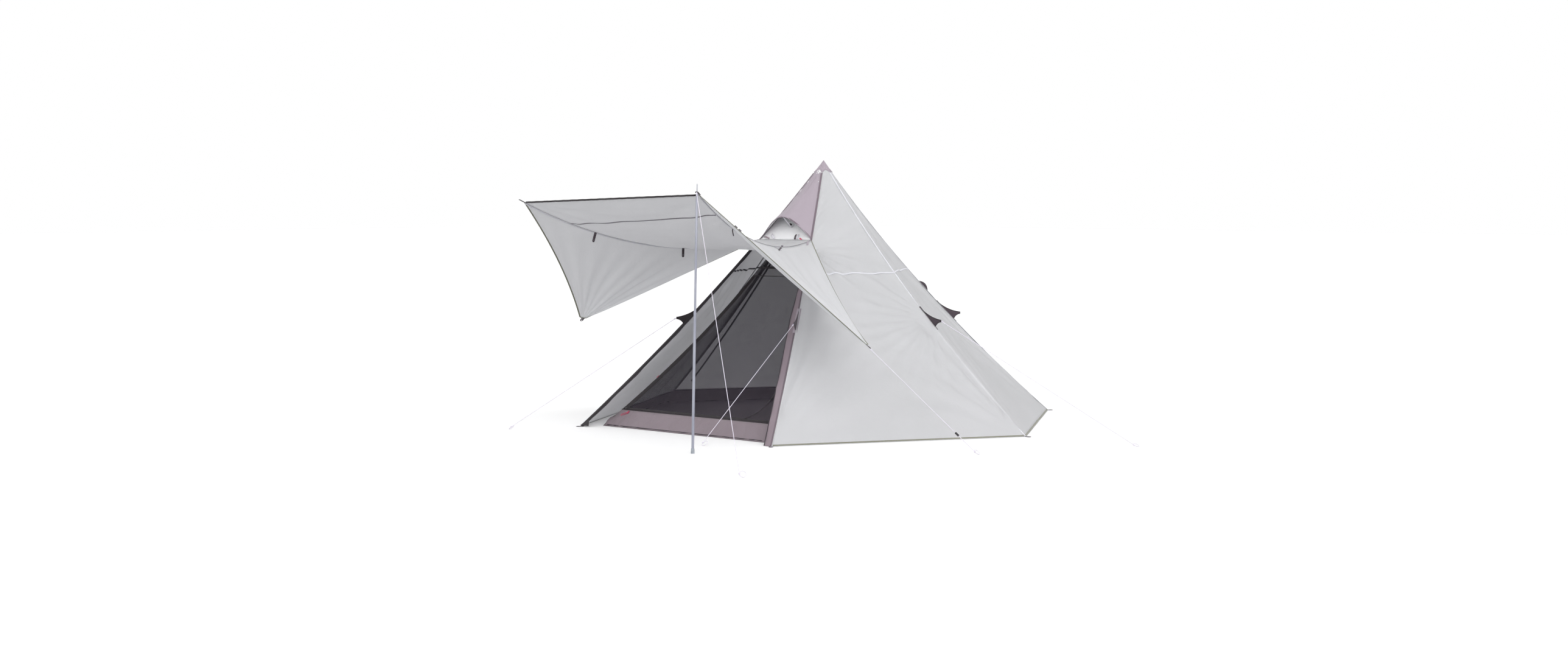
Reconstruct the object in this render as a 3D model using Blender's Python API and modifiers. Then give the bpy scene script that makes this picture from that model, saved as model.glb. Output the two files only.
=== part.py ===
"""Six-sided pyramid tent with an inner tent, its door panel raised as an awning on one pole.

Metres, +Z up. The origin is on the ground under the centre pole, and the door faces -Y.
A corner of the tent is named by its azimuth, counted from +X towards +Y.
"""

import math

import bmesh
import bpy
from mathutils import Matrix, Vector

# Fly: a hexagon on the ground, six ridges that sag inwards on their way to the apex
FLY_RADIUS = 1.972
FLY_HEIGHT = 2.046
CLOTH = 0.0020
CLEARANCE = 0.0003
HEM_HEIGHT = 0.0013
SEAM_INSET = 0.00080
INNER_SEAM_INSET = 0.00110
SIDES = 6
SIDE_DEG = 60
SIDE_COS = math.cos(math.pi / SIDES)
CORNERS = {
    "front_left": -120,
    "front_right": -60,
    "right": 0,
    "rear_right": 60,
    "rear_left": 120,
    "left": 180,
}
FLY_SAG_SHARES = {-120: 0.040, -60: 0.055, 0: 0.057, 60: 0.057, 120: 0.055, 180: 0.055}
FLY_PANELS = {
    "fly_front_right": (-60, 0),
    "fly_rear_right": (0, 60),
    "fly_rear": (60, 120),
    "fly_rear_left": (120, 180),
    "fly_front_left": (180, 240),
}
PANEL_TOP_SHARE = 0.032
PANEL_ROWS = 18
PANEL_COLUMNS = 4
PANEL_BELLY = 0.018

# Cap over the apex
CAP_DROP = 0.098
CAP_SCALLOP = 0.024
CAP_ROWS = 6
CAP_COLUMNS = 8
CAP_LIFT = 0.0050

# Door face: vent panel, hood with its prop, zip strips
DOOR_LEFT = -120
DOOR_RIGHT = -60
VENT_HEIGHT = 1.430
HOOD_LIFT = 0.0026
HOOD_BULGE = 0.135
HOOD_ARCH = 0.078
HOOD_EDGE_INSET = 0.0035
HOOD_CURVE = 1.6
HOOD_TOP_GAP = 0.0060
HOOD_ROWS = 12
HOOD_COLUMNS = 16
PROP_WIDTH = 0.014
PROP_THICKNESS = 0.0030
PROP_HOOD_GAP = 0.0022
PROP_HOOD_SHARE = 0.985
PROP_SEAT_HEIGHT = 1.523
STRIP_RIGHT_WIDTH = 0.072
STRIP_LEFT_WIDTH = 0.026
STRIP_ROWS = 14
STRIP_TOP_GAP = 0.014

# Tabs for the guy lines, one on each ridge
TAB_TOP_HEIGHT = 0.905
TAB_LOW_HEIGHT = 0.775
TAB_TIP_HEIGHT = 0.822
TAB_REACH = 0.190
TAB_TIP_WIDTH = 0.012
TAB_LOW_HOLLOW = 0.010
TAB_TOP_HOLLOW = 0.014
TAB_THICKNESS = 0.0025
TAB_SEAT = 0.0015
RIDGE_TAB_HEIGHT = 1.045
RIDGE_TAB_LENGTH = 0.080
RIDGE_TAB_REACH = 0.024

# Peg loops and corner loops: flat webbing links
LOOP_LENGTH = 0.040
LOOP_WIDTH = 0.030
LOOP_BAND = 0.0075
LOOP_THICKNESS = 0.0030
PEG_LOOP_LIFT = 0.0020
PEG_LOOP_INSET = 0.0009
CORNER_LOOP_WIDTH = 0.026
CORNER_CUT = 0.034
# How far past the cloth's cut corner each corner loop starts
CORNER_LOOP_STARTS = {"front_left": 0.0004, "front_right": -0.0004, "side_left": 0.0006, "side_right": 0.0006}
ROUND_POINTS = 8

# Awning: the places of its four corner eyes
AWNING_FRONT_X = 0.907
AWNING_FRONT_Y = -2.373
AWNING_FRONT_LEFT_HEIGHT = 1.738
AWNING_FRONT_RIGHT_HEIGHT = 1.793
AWNING_SIDE_X = 1.490
AWNING_SIDE_Y = -1.232
AWNING_SIDE_LEFT_HEIGHT = 0.778
AWNING_SIDE_RIGHT_HEIGHT = 0.703
SEAM_SAG = 0.177
ROOF_BELLY = 0.020
ROOF_BACK_GAP = 0.0015
FREE_EDGE_HOLLOWS = {"left": 0.050, "right": 0.008}
BACK_EDGE_SAGS = {"left": 0.004, "right": 0.060}
WING_BACK_GAP = 0.0060
BINDING_END_SHARE = 0.012
WING_FOLD_DEPTH = 0.012
WING_FOLDS = 3
ROOF_COLUMNS = 8
ROOF_ROWS = 20
WING_COLUMNS = 20
WING_ROWS = 10
AWNING_SEAM_INSET = 0.00090
BINDING_RADIUS = 0.0050

# Straps that hang from the left seam
STRAP_WIDTH = 0.020
STRAP_LENGTH = 0.075
STRAP_THICKNESS = 0.0020
STRAP_DROP = 0.0024
STRAP_STEP = 0.002
STRAP_SHARES = {"strap_front": 0.300, "strap_rear": 0.665}

# Awning pole: a thin tube that slides in a thicker one, with a spike through the corner eye
POLE_FOOT_X = 0.840
POLE_FOOT_Y = -2.354
POLE_LOWER_RADIUS = 0.0095
POLE_LOWER_BORE = 0.0084
POLE_LOWER_LENGTH = 0.980
POLE_UPPER_RADIUS = 0.0080
POLE_UPPER_BORE = 0.0068
POLE_UPPER_OVERLAP = 0.400
POLE_SHOULDER_DROP = 0.0068
SPIKE_RADIUS = 0.0035
SPIKE_PLUG_LENGTH = 0.040
SPIKE_FLANGE = 0.0030
SPIKE_LENGTH = 0.068
EYE_RADIUS = 0.0062
FOOT_RADIUS = 0.0130
FOOT_LENGTH = 0.035
FOOT_SOLE = 0.0060
FOOT_TAPER = 0.0020
TURNED_STEPS = 24

# Centre pole
CENTRE_LOWER_RADIUS = 0.0140
CENTRE_LOWER_BORE = 0.0129
CENTRE_LOWER_TOP = 1.150
CENTRE_UPPER_RADIUS = 0.0125
CENTRE_UPPER_BORE = 0.0113
CENTRE_UPPER_BOTTOM = 0.720
CENTRE_FOOT_RADIUS = 0.0300
CENTRE_FOOT_LENGTH = 0.045
CENTRE_COLLAR_RADIUS = 0.0190
CENTRE_COLLAR_LENGTH = 0.060
CENTRE_COLLAR_LIP = 0.0080
CENTRE_COLLAR_EDGE = 0.0020
CUP_RADIUS = 0.0210
SPIGOT_RADIUS = 0.0065
SPIGOT_TIP_RADIUS = 0.0040
CUP_LENGTH = 0.060
CUP_PLUG_LENGTH = 0.050

# Inner tent: a tray floor, five walls and a mesh door that swings on its right ridge
INNER_RADIUS = 1.800
INNER_HEIGHT = 1.985
INNER_SAG_SHARES = {-120: 0.100, -60: 0.100, 0: 0.060, 60: 0.060, 120: 0.060, 180: 0.050}
INNER_WALLS = {
    "inner_front_right": (-60, 0),
    "inner_rear_right": (0, 60),
    "inner_rear": (60, 120),
    "inner_rear_left": (120, 180),
    "inner_front_left": (180, 240),
}
TRAY_HEIGHT = 0.125
TRAY_COLUMNS = 4
TRAY_GAP = 0.0010
DOOR_SILL_GAP = 0.0006
INNER_TOP_SHARE = 0.045
INNER_CAP_DROP = 0.105
INNER_CAP_OPENING = 0.022
INNER_CAP_LIFT = 0.0062
DOOR_FREE_INSET = 0.0012
DOOR_HEAD_GAP = 0.0006
DOOR_TOP_HEIGHT = 1.150
ZIP_LENGTH = 0.026
ZIP_WIDTH = 0.011
ZIP_THICKNESS = 0.0060
ZIP_SEAT = 0.0006
ZIP_STEP_SHARE = 0.010
SILL_ZIP_X = -0.735
SILL_ZIP_SHARE = 0.90
SIDE_ZIP_INSET_SHARE = 0.012
SIDE_ZIP_HEIGHT = 0.371

# Guy lines: ground ends, and the tied loop at the end of each
LINE_RADIUS = 0.0020
LINE_SIDES = 2
END_LOOP_RADIUS = 0.022
END_LOOP_POINTS = 14
END_LOOP_TURN = math.radians(322)
LINE_POINTS = 12
POLE_LINE_END = (1.920, -3.040)
CORNER_LINE_END = (2.330, -1.110)
FRONT_RIGHT_LINE_END = (0.560, -1.965)
RIGHT_LINE_END = (2.900, 0.000)
FRONT_LEFT_LINE_END = (-1.260, -2.180)
TENSIONER_SHARE = 0.830
TENSIONER_RADIUS = 0.0075
TENSIONER_BORE = 0.0026
TENSIONER_LENGTH = 0.034

MODEL = "pyramid_tent"


def srgb(*levels):
    """Linear colour from 8-bit screen levels."""
    return tuple((level / 255) ** 2.2 for level in levels)


FINISHES = {
    "fly_cloth": (srgb(226, 226, 231), 0.80, 0.0),
    "trim_cloth": (srgb(168, 156, 166), 0.80, 0.0),
    "dark_webbing": (srgb(70, 60, 66), 0.85, 0.0),
    "mesh": (srgb(62, 56, 68), 0.90, 0.0),
    "inner_cloth": (srgb(205, 203, 208), 0.85, 0.0),
    "pole": (srgb(178, 182, 192), 0.35, 1.0),
    "plastic": (srgb(40, 38, 42), 0.50, 0.0),
    "cord": (srgb(236, 234, 240), 0.75, 0.0),
    "zip_red": (srgb(205, 110, 130), 0.60, 0.0),
}


# Scene and materials


def clear_scene():
    for thing in list(bpy.data.objects):
        bpy.data.objects.remove(thing, do_unlink=True)


def new_collection(name):
    collection = bpy.data.collections.new(name)
    bpy.context.scene.collection.children.link(collection)
    return collection


def finish_material(name):
    """The Principled material of one finish, made on its first use."""
    if name in bpy.data.materials:
        return bpy.data.materials[name]
    colour, roughness, metallic = FINISHES[name]
    material = bpy.data.materials.new(name)
    material.use_nodes = True
    shader = material.node_tree.nodes["Principled BSDF"]
    shader.inputs["Base Color"].default_value = (*colour, 1.0)
    shader.inputs["Roughness"].default_value = roughness
    shader.inputs["Metallic"].default_value = metallic
    return material


def add_part(name, data, finish, parent=None, matrix=None):
    """Names, dresses, parents and places one part."""
    part = bpy.data.objects.new(name, data)
    data.name = name
    data.materials.append(finish_material(finish))
    parts.objects.link(part)
    part.parent = parent
    part.matrix_basis = matrix or Matrix.Identity(4)
    return part


def add_empty(name, matrix):
    """An empty that carries a moving piece on its joint."""
    empty = bpy.data.objects.new(name, None)
    parts.objects.link(empty)
    empty.matrix_basis = matrix
    return empty


# Tools for sheets, plates, turned pieces and tubes


def grid_mesh(surface, across, along):
    """A mesh grid whose points are surface(s, t), with s and t from 0 to 1."""
    mesh = bpy.data.meshes.new("grid")
    work = bmesh.new()
    bmesh.ops.create_grid(work, x_segments=across, y_segments=along, size=0.5)
    for vertex in work.verts:
        vertex.co = surface(vertex.co.x + 0.5, vertex.co.y + 0.5)
    bmesh.ops.remove_doubles(work, verts=work.verts, dist=CLEARANCE / 3)
    work.to_mesh(mesh)
    work.free()
    mesh.shade_smooth()
    return mesh


def add_sheet(name, surface, across, along, finish, parent=None, thickness=CLOTH):
    """A sheet of cloth: a curved grid, thickened by half to each side."""
    part = add_part(name, grid_mesh(surface, across, along), finish, parent)
    solid = part.modifiers.new("cloth", "SOLIDIFY")
    solid.thickness = thickness
    solid.offset = 0.0
    return part


def add_plate(name, outlines, thickness, finish, matrix, parent=None):
    """A flat plate from closed outlines in local X and Y; the second outline is a hole."""
    curve = bpy.data.curves.new(name, "CURVE")
    curve.dimensions = "2D"
    curve.fill_mode = "BOTH"
    curve.extrude = thickness / 2
    for outline in outlines:
        spline = curve.splines.new("POLY")
        spline.points.add(len(outline) - 1)
        for point, (x, y) in zip(spline.points, outline):
            point.co = (x, y, 0.0, 1.0)
        spline.use_cyclic_u = True
    return add_part(name, curve, finish, parent, matrix)


def add_turned(name, profile, finish, parent=None, matrix=None):
    """A turned piece from a closed profile of (radius, height), outer side top to bottom."""
    mesh = bpy.data.meshes.new(name)
    rounds = [(i, (i + 1) % len(profile)) for i in range(len(profile))]
    edges = [(i, j) for i, j in rounds if profile[i][0] or profile[j][0]]
    mesh.from_pydata([(radius, 0.0, height) for radius, height in profile], edges, [])
    part = add_part(name, mesh, finish, parent, matrix)
    turn = part.modifiers.new("turn", "SCREW")
    turn.steps = TURNED_STEPS
    turn.render_steps = TURNED_STEPS
    turn.use_merge_vertices = True
    turn.merge_threshold = CLEARANCE / 6
    turn.use_smooth_shade = True
    return part


def add_tube(name, points, radius, finish, sides=LINE_SIDES, parent=None):
    """A round tube with flat ends along a list of points."""
    curve = bpy.data.curves.new(name, "CURVE")
    curve.dimensions = "3D"
    curve.bevel_depth = radius
    curve.bevel_resolution = sides
    curve.use_fill_caps = True
    spline = curve.splines.new("POLY")
    spline.points.add(len(points) - 1)
    for target, place in zip(spline.points, points):
        target.co = (*place, 1.0)
    return add_part(name, curve, finish, parent)


def frame_at(origin, x_axis, y_axis):
    """A placing matrix from an origin and two directions; Z is square to both."""
    x = Vector(x_axis).normalized()
    z = x.cross(Vector(y_axis)).normalized()
    y = z.cross(x)
    matrix = Matrix((x, y, z)).transposed().to_4x4()
    matrix.translation = Vector(origin)
    return matrix


def parabola(share):
    """0 at both ends and 1 in the middle."""
    return 4 * share * (1 - share)


# The lines of the fly and of the inner tent


def outward(azimuth):
    turn = math.radians(azimuth)
    return Vector((math.cos(turn), math.sin(turn), 0.0))


def ridge_radius(height, radius, top, sag_share):
    """Distance of a ridge from the pole at one height."""
    down = 1 - height / top
    return radius * (down - sag_share * parabola(down))


def fly_ridge(azimuth, height):
    azimuth = azimuth - 360 if azimuth > 180 else azimuth
    radius = ridge_radius(height, FLY_RADIUS, FLY_HEIGHT, FLY_SAG_SHARES[azimuth])
    return outward(azimuth) * radius + Vector((0, 0, height))


def inner_ridge(azimuth, height):
    azimuth = azimuth - 360 if azimuth > 180 else azimuth
    radius = ridge_radius(height, INNER_RADIUS, INNER_HEIGHT, INNER_SAG_SHARES[azimuth])
    return outward(azimuth) * radius + Vector((0, 0, height))


def between(start, end, share, start_inset=SEAM_INSET, end_inset=SEAM_INSET):
    """A point on a level line between two ridges, kept clear of both."""
    length = (end - start).length
    step = start_inset + (length - start_inset - end_inset) * share
    return start + (end - start) * (step / length)


def panel_surface(ridge, first, second, low, high, belly=0.0, insets=(SEAM_INSET, SEAM_INSET)):
    """A panel ruled by level lines, its middle drawn in a little."""
    inward = -outward((first + second) / 2)

    def surface(s, t):
        height = low + (high - low) * t
        place = between(ridge(first, height), ridge(second, height), s, *insets)
        return place + inward * (belly * parabola(s) * parabola(t))

    return surface


# Fly


def build_fly():
    top = FLY_HEIGHT * (1 - PANEL_TOP_SHARE)
    for name, (first, second) in FLY_PANELS.items():
        surface = panel_surface(fly_ridge, first, second, HEM_HEIGHT, top, PANEL_BELLY)
        add_sheet(name, surface, PANEL_COLUMNS, PANEL_ROWS, "fly_cloth")
    vent = panel_surface(fly_ridge, DOOR_LEFT, DOOR_RIGHT, VENT_HEIGHT, top)
    add_sheet("fly_vent_panel", vent, PANEL_COLUMNS, PANEL_ROWS // 2, "fly_cloth")


def cap_surface(ridge, low, high, lift, scallop=0.0):
    """A six-sided cap over the ridges; its lower edge is hollowed on each side."""

    def surface(s, t):
        side = min(int(s * SIDES), SIDES - 1)
        across = s * SIDES - side
        edge = low + scallop * math.sin(math.pi * across)
        height = edge + (high - edge) * t
        first = side * SIDE_DEG + DOOR_LEFT
        place = ridge(first, height).lerp(ridge(first + SIDE_DEG, height), across)
        return place + Vector((0, 0, lift))

    return surface


def build_apex():
    cap = cap_surface(fly_ridge, FLY_HEIGHT - CAP_DROP, FLY_HEIGHT, CAP_LIFT, CAP_SCALLOP)
    add_sheet("apex_cap", cap, CAP_COLUMNS * SIDES, CAP_ROWS, "trim_cloth")
    low, high = INNER_HEIGHT - INNER_CAP_DROP, INNER_HEIGHT - INNER_CAP_OPENING
    peak = cap_surface(inner_ridge, low, high, INNER_CAP_LIFT)
    add_sheet("inner_peak", peak, SIDES * 2, CAP_ROWS, "dark_webbing")


# Door face


def hood_surface(s, t):
    """The hood: flat against the vent panel at the top, bulged out at its arched lower edge."""
    top = FLY_HEIGHT - CAP_DROP + CAP_SCALLOP * math.sin(math.pi * s) - HOOD_TOP_GAP
    low = VENT_HEIGHT + HOOD_TOP_GAP + HOOD_ARCH * parabola(s)
    height = top + (low - top) * t
    left, right = fly_ridge(DOOR_LEFT, height), fly_ridge(DOOR_RIGHT, height)
    place = between(left, right, s, HOOD_EDGE_INSET, HOOD_EDGE_INSET)
    return place + door_normal() * (HOOD_LIFT + HOOD_BULGE * parabola(s) * t**HOOD_CURVE)


def door_point(height):
    """The middle of the door face at one height."""
    return (fly_ridge(DOOR_LEFT, height) + fly_ridge(DOOR_RIGHT, height)) / 2


def door_normal():
    """The way that the door face looks, out and up."""
    rise = door_point(VENT_HEIGHT) - door_point(0)
    return Vector((0, -rise.z, rise.y)).normalized()


def build_hood():
    add_sheet("vent_hood", hood_surface, HOOD_COLUMNS, HOOD_ROWS, "trim_cloth")
    normal = door_normal()
    start = hood_surface(0.5, PROP_HOOD_SHARE) - normal * (CLOTH / 2 + PROP_HOOD_GAP)
    end = door_point(PROP_SEAT_HEIGHT) + normal * (CLOTH / 2 + CLEARANCE * 2)
    hinge = add_empty("prop_hinge", frame_at(start, end - start, (1, 0, 0)))
    outline = rounded_strip((end - start).length, PROP_WIDTH)
    add_plate("hood_prop", [outline], PROP_THICKNESS, "inner_cloth", Matrix(), hinge)


def build_strips():
    for name, azimuth, width, finish in (
        ("door_strip_left", DOOR_LEFT, STRIP_LEFT_WIDTH, "dark_webbing"),
        ("door_strip_right", DOOR_RIGHT, STRIP_RIGHT_WIDTH, "trim_cloth"),
    ):
        side = -1 if azimuth == DOOR_LEFT else 1

        def surface(s, t, azimuth=azimuth, width=width, side=side):
            height = HEM_HEIGHT + (VENT_HEIGHT - STRIP_TOP_GAP - HEM_HEIGHT) * t
            ridge = fly_ridge(azimuth, height)
            return ridge - Vector((side * (SEAM_INSET + width * s), 0, 0))

        add_sheet(name, surface, 2, STRIP_ROWS, finish)


# Tabs and loops


def rounded_strip(length, width):
    """Outline of a strip from the origin along +X, its far end rounded."""
    half = width / 2
    points = [(0.0, -half)]
    for i in range(ROUND_POINTS + 1):
        turn = math.pi * (i / ROUND_POINTS - 0.5)
        points.append((length - half + half * math.cos(turn), half * math.sin(turn)))
    points.append((0.0, half))
    return points


def circle(radius, centre_x=0.0):
    return [
        (
            centre_x + radius * math.cos(math.tau * i / (ROUND_POINTS * 2)),
            radius * math.sin(math.tau * i / (ROUND_POINTS * 2)),
        )
        for i in range(ROUND_POINTS * 2)
    ]


def hollow_edge(start, end, hollow):
    """Points between two corners of an outline, drawn to the left of the way by the hollow."""
    way = Vector(end) - Vector(start)
    left = Vector((-way.y, way.x)).normalized()
    shares = [i / ROUND_POINTS for i in range(1, ROUND_POINTS)]
    return [tuple(Vector(start) + way * n + left * (hollow * parabola(n))) for n in shares]


def build_tabs():
    for corner, azimuth in CORNERS.items():
        away = outward(azimuth)
        start = fly_ridge(azimuth, TAB_TOP_HEIGHT).dot(away)
        run = fly_ridge(azimuth, TAB_LOW_HEIGHT).dot(away) - start
        top = (TAB_SEAT, TAB_TOP_HEIGHT - TAB_TIP_HEIGHT)
        low = (run + TAB_SEAT, TAB_LOW_HEIGHT - TAB_TIP_HEIGHT)
        tip_low = (TAB_REACH, -TAB_TIP_WIDTH / 2)
        tip_top = (TAB_REACH, TAB_TIP_WIDTH / 2)
        outline = [top, low, *hollow_edge(low, tip_low, TAB_LOW_HOLLOW), tip_low]
        outline += [tip_top, *hollow_edge(tip_top, top, TAB_TOP_HOLLOW)]
        origin = away * start + Vector((0, 0, TAB_TIP_HEIGHT))
        matrix = frame_at(origin, away, (0, 0, 1))
        add_plate(f"guy_tab_{corner}", [outline], TAB_THICKNESS, "dark_webbing", matrix)


def build_ridge_tab():
    """A folded webbing tab that stands out of the rear right ridge."""
    away = outward(CORNERS["rear_right"])
    top = fly_ridge(CORNERS["rear_right"], RIDGE_TAB_HEIGHT + RIDGE_TAB_LENGTH / 2)
    low = fly_ridge(CORNERS["rear_right"], RIDGE_TAB_HEIGHT - RIDGE_TAB_LENGTH / 2)
    along = (low - top).normalized()
    length = (low - top).length
    outline = [
        (length * i / ROUND_POINTS, RIDGE_TAB_REACH * parabola(i / ROUND_POINTS))
        for i in range(ROUND_POINTS + 1)
    ]
    side = away - along * away.dot(along)
    matrix = frame_at(top + side.normalized() * TAB_SEAT, along, side)
    add_plate("ridge_tab", [outline], TAB_THICKNESS, "dark_webbing", matrix)


def build_peg_loops():
    for corner, azimuth in CORNERS.items():
        away = outward(azimuth)
        origin = away * (FLY_RADIUS - PEG_LOOP_INSET) + Vector((0, 0, PEG_LOOP_LIFT))
        outline = rounded_strip(LOOP_LENGTH, LOOP_WIDTH)
        eye = circle(LOOP_WIDTH / 2 - LOOP_BAND, LOOP_LENGTH - LOOP_WIDTH / 2)
        side = Vector((0, 0, 1)).cross(away)
        matrix = frame_at(origin, away, side)
        add_plate(f"peg_loop_{corner}", [outline, eye], LOOP_THICKNESS, "dark_webbing", matrix)


# Awning


EYES = {
    "front_left": Vector((-AWNING_FRONT_X, AWNING_FRONT_Y, AWNING_FRONT_LEFT_HEIGHT)),
    "front_right": Vector((AWNING_FRONT_X, AWNING_FRONT_Y, AWNING_FRONT_RIGHT_HEIGHT)),
    "side_left": Vector((-AWNING_SIDE_X, AWNING_SIDE_Y, AWNING_SIDE_LEFT_HEIGHT)),
    "side_right": Vector((AWNING_SIDE_X, AWNING_SIDE_Y, AWNING_SIDE_RIGHT_HEIGHT)),
}


def seam_ends(side):
    azimuth = DOOR_LEFT if side == "left" else DOOR_RIGHT
    return EYES[f"front_{side}"], fly_ridge(azimuth, VENT_HEIGHT)


def seam(side, t):
    """The seam between roof and wing, hanging from its front eye to the ridge."""
    start, end = seam_ends(side)
    return start.lerp(end, t) - Vector((0, 0, SEAM_SAG * parabola(t)))


def seam_share(side, length):
    start, end = seam_ends(side)
    return length / (end - start).length


def roof_surface(s, t):
    first = seam_share("left", CORNER_CUT)
    last = 1 - seam_share("left", ROOF_BACK_GAP)
    along = first + (last - first) * t
    inset = AWNING_SEAM_INSET
    place = between(seam("left", along), seam("right", along), s, inset, inset)
    return place - Vector((0, 0, ROOF_BELLY * parabola(s) * parabola(t)))


def wing_surface(side):
    eye = EYES[f"side_{side}"]
    middle = seam(side, 0.5)
    reach = (eye - middle).length
    near = AWNING_SEAM_INSET / reach
    far = 1 - CORNER_CUT / reach
    start, end = seam_ends(side)
    inward = (end - start).normalized()
    normal = (end - start).cross(eye - start).normalized()

    def surface(s, t):
        first = seam_share(side, CORNER_CUT)
        last = 1 - seam_share(side, WING_BACK_GAP)
        along = first + (last - first) * s
        down = near + (far - near) * t
        place = seam(side, along).lerp(eye, down)
        hollow = FREE_EDGE_HOLLOWS[side] * parabola(t) * (1 - s) ** 3
        drop = BACK_EDGE_SAGS[side] * parabola(t) * s**3
        fold = WING_FOLD_DEPTH * math.sin(math.tau * WING_FOLDS * s) * parabola(t)
        return place + inward * hollow - Vector((0, 0, drop)) + normal * fold

    return surface


def build_awning():
    add_sheet("awning_roof", roof_surface, ROOF_COLUMNS, ROOF_ROWS, "fly_cloth")
    for side in ("left", "right"):
        add_sheet(f"awning_wing_{side}", wing_surface(side), WING_COLUMNS, WING_ROWS, "fly_cloth")
    left, right = roof_surface(0, 0), roof_surface(1, 0)
    forward = Vector((0, -(BINDING_RADIUS + CLEARANCE * 2), 0))
    ends = [left.lerp(right, BINDING_END_SHARE) + forward]
    ends.append(right.lerp(left, BINDING_END_SHARE) + forward)
    add_tube("awning_binding", ends, BINDING_RADIUS, "dark_webbing")


def corner_frame(name):
    """The frame of a corner loop: X points out from the cloth through the eye."""
    eye = EYES[name]
    kind, side = name.split("_")
    start, end = seam_ends(side)
    if kind == "front":
        cut = seam(side, seam_share(side, CORNER_CUT))
        out = (eye - cut).normalized()
        across = Vector((0, 0, 1)).cross(out)
    else:
        out = (eye - seam(side, 0.5)).normalized()
        cut = eye - out * CORNER_CUT
        across = (end - start) - out * out.dot(end - start)
    return frame_at(cut + out * CORNER_LOOP_STARTS[name], out, across)


def build_corner_loops():
    for name, eye in EYES.items():
        frame = corner_frame(name)
        reach = (eye - frame.translation).length
        length = reach + CORNER_LOOP_WIDTH / 2
        outlines = [rounded_strip(length, CORNER_LOOP_WIDTH), circle(EYE_RADIUS, reach)]
        add_plate(f"awning_loop_{name}", outlines, LOOP_THICKNESS, "dark_webbing", frame)


def build_straps():
    for name, share in STRAP_SHARES.items():
        tangent = (seam("left", share + STRAP_STEP) - seam("left", share - STRAP_STEP)).normalized()
        down = Vector((0, 0, -1)) - tangent * -tangent.z
        down.normalize()
        origin = seam("left", share) + down * STRAP_DROP
        hinge = add_empty(f"{name}_hinge", frame_at(origin, down, tangent))
        outline = rounded_strip(STRAP_LENGTH, STRAP_WIDTH)
        add_plate(f"awning_{name}", [outline], STRAP_THICKNESS, "dark_webbing", Matrix(), hinge)


# Poles


def tube_profile(outer, bore, low, high):
    """A tube, open at both ends."""
    return [(outer, high), (outer, low), (bore, low), (bore, high)]


def build_awning_pole():
    foot = Vector((POLE_FOOT_X, POLE_FOOT_Y, 0.0))
    eye = EYES["front_right"]
    up = (eye - foot).normalized()
    side = Vector((1, 0, 0)) - up * up.x
    lift = FOOT_RADIUS * math.sin(math.acos(up.z)) + CLEARANCE
    base = add_empty("awning_pole_axis", frame_at(foot + up * lift, side, up.cross(side)))
    sole = FOOT_SOLE
    bore = POLE_LOWER_RADIUS + CLEARANCE
    add_turned(
        "awning_pole_foot",
        [
            (FOOT_RADIUS - FOOT_TAPER, FOOT_LENGTH),
            (FOOT_RADIUS, sole),
            (FOOT_RADIUS, 0.0),
            (0.0, 0.0),
            (0.0, sole),
            (bore, sole),
            (bore, FOOT_LENGTH),
        ],
        "plastic",
        base,
    )
    lower = POLE_LOWER_LENGTH
    profile = tube_profile(POLE_LOWER_RADIUS, POLE_LOWER_BORE, sole + CLEARANCE, lower)
    add_turned("awning_pole_lower", profile, "pole", base)
    shoulder = (eye - foot).length - lift - POLE_SHOULDER_DROP
    flange = shoulder - SPIKE_FLANGE
    bottom = lower - POLE_UPPER_OVERLAP
    profile = tube_profile(POLE_UPPER_RADIUS, POLE_UPPER_BORE, bottom, flange - CLEARANCE)
    add_turned("awning_pole_upper", profile, "pole", base)
    tip = shoulder + SPIKE_LENGTH
    plug = POLE_UPPER_BORE - CLEARANCE
    add_turned(
        "awning_pole_spike",
        [
            (0.0, tip),
            (SPIKE_RADIUS / 2, tip - SPIKE_RADIUS / 2),
            (SPIKE_RADIUS, tip - SPIKE_RADIUS * 2),
            (SPIKE_RADIUS, shoulder),
            (POLE_UPPER_RADIUS, shoulder),
            (POLE_UPPER_RADIUS, flange),
            (plug, flange),
            (plug, shoulder - SPIKE_PLUG_LENGTH),
            (0.0, shoulder - SPIKE_PLUG_LENGTH),
        ],
        "pole",
        base,
    )


def build_centre_pole():
    base = CLOTH + CLEARANCE
    sole = base + FOOT_SOLE
    top = base + CENTRE_FOOT_LENGTH
    bore = CENTRE_LOWER_RADIUS + CLEARANCE
    add_turned(
        "centre_pole_foot",
        [
            (bore + FOOT_SOLE, top),
            (bore + FOOT_SOLE, sole + FOOT_SOLE),
            (CENTRE_FOOT_RADIUS, sole),
            (CENTRE_FOOT_RADIUS, base),
            (0.0, base),
            (0.0, sole),
            (bore, sole),
            (bore, top),
        ],
        "plastic",
    )
    seam_height = CENTRE_LOWER_TOP
    profile = tube_profile(CENTRE_LOWER_RADIUS, CENTRE_LOWER_BORE, sole + CLEARANCE, seam_height)
    add_turned("centre_pole_lower", profile, "pole")
    low, high = seam_height - CENTRE_COLLAR_LENGTH, seam_height + CENTRE_COLLAR_LIP
    narrow = CENTRE_UPPER_RADIUS + CLEARANCE
    add_turned(
        "centre_pole_collar",
        [
            (CENTRE_COLLAR_RADIUS - CENTRE_COLLAR_EDGE, high),
            (CENTRE_COLLAR_RADIUS, high - CENTRE_COLLAR_EDGE),
            (CENTRE_COLLAR_RADIUS, low + CENTRE_COLLAR_EDGE),
            (CENTRE_COLLAR_RADIUS - CENTRE_COLLAR_EDGE, low),
            (bore, low),
            (bore, seam_height + CLEARANCE),
            (narrow, seam_height + CLEARANCE),
            (narrow, high),
        ],
        "plastic",
    )
    build_centre_pole_top()


def steepness(radius, top, sag_share):
    """Fall per length outwards, near the apex, of a wall between two ridges of this sag."""
    return top / (radius * (1 - 4 * sag_share) * SIDE_COS)


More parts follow.
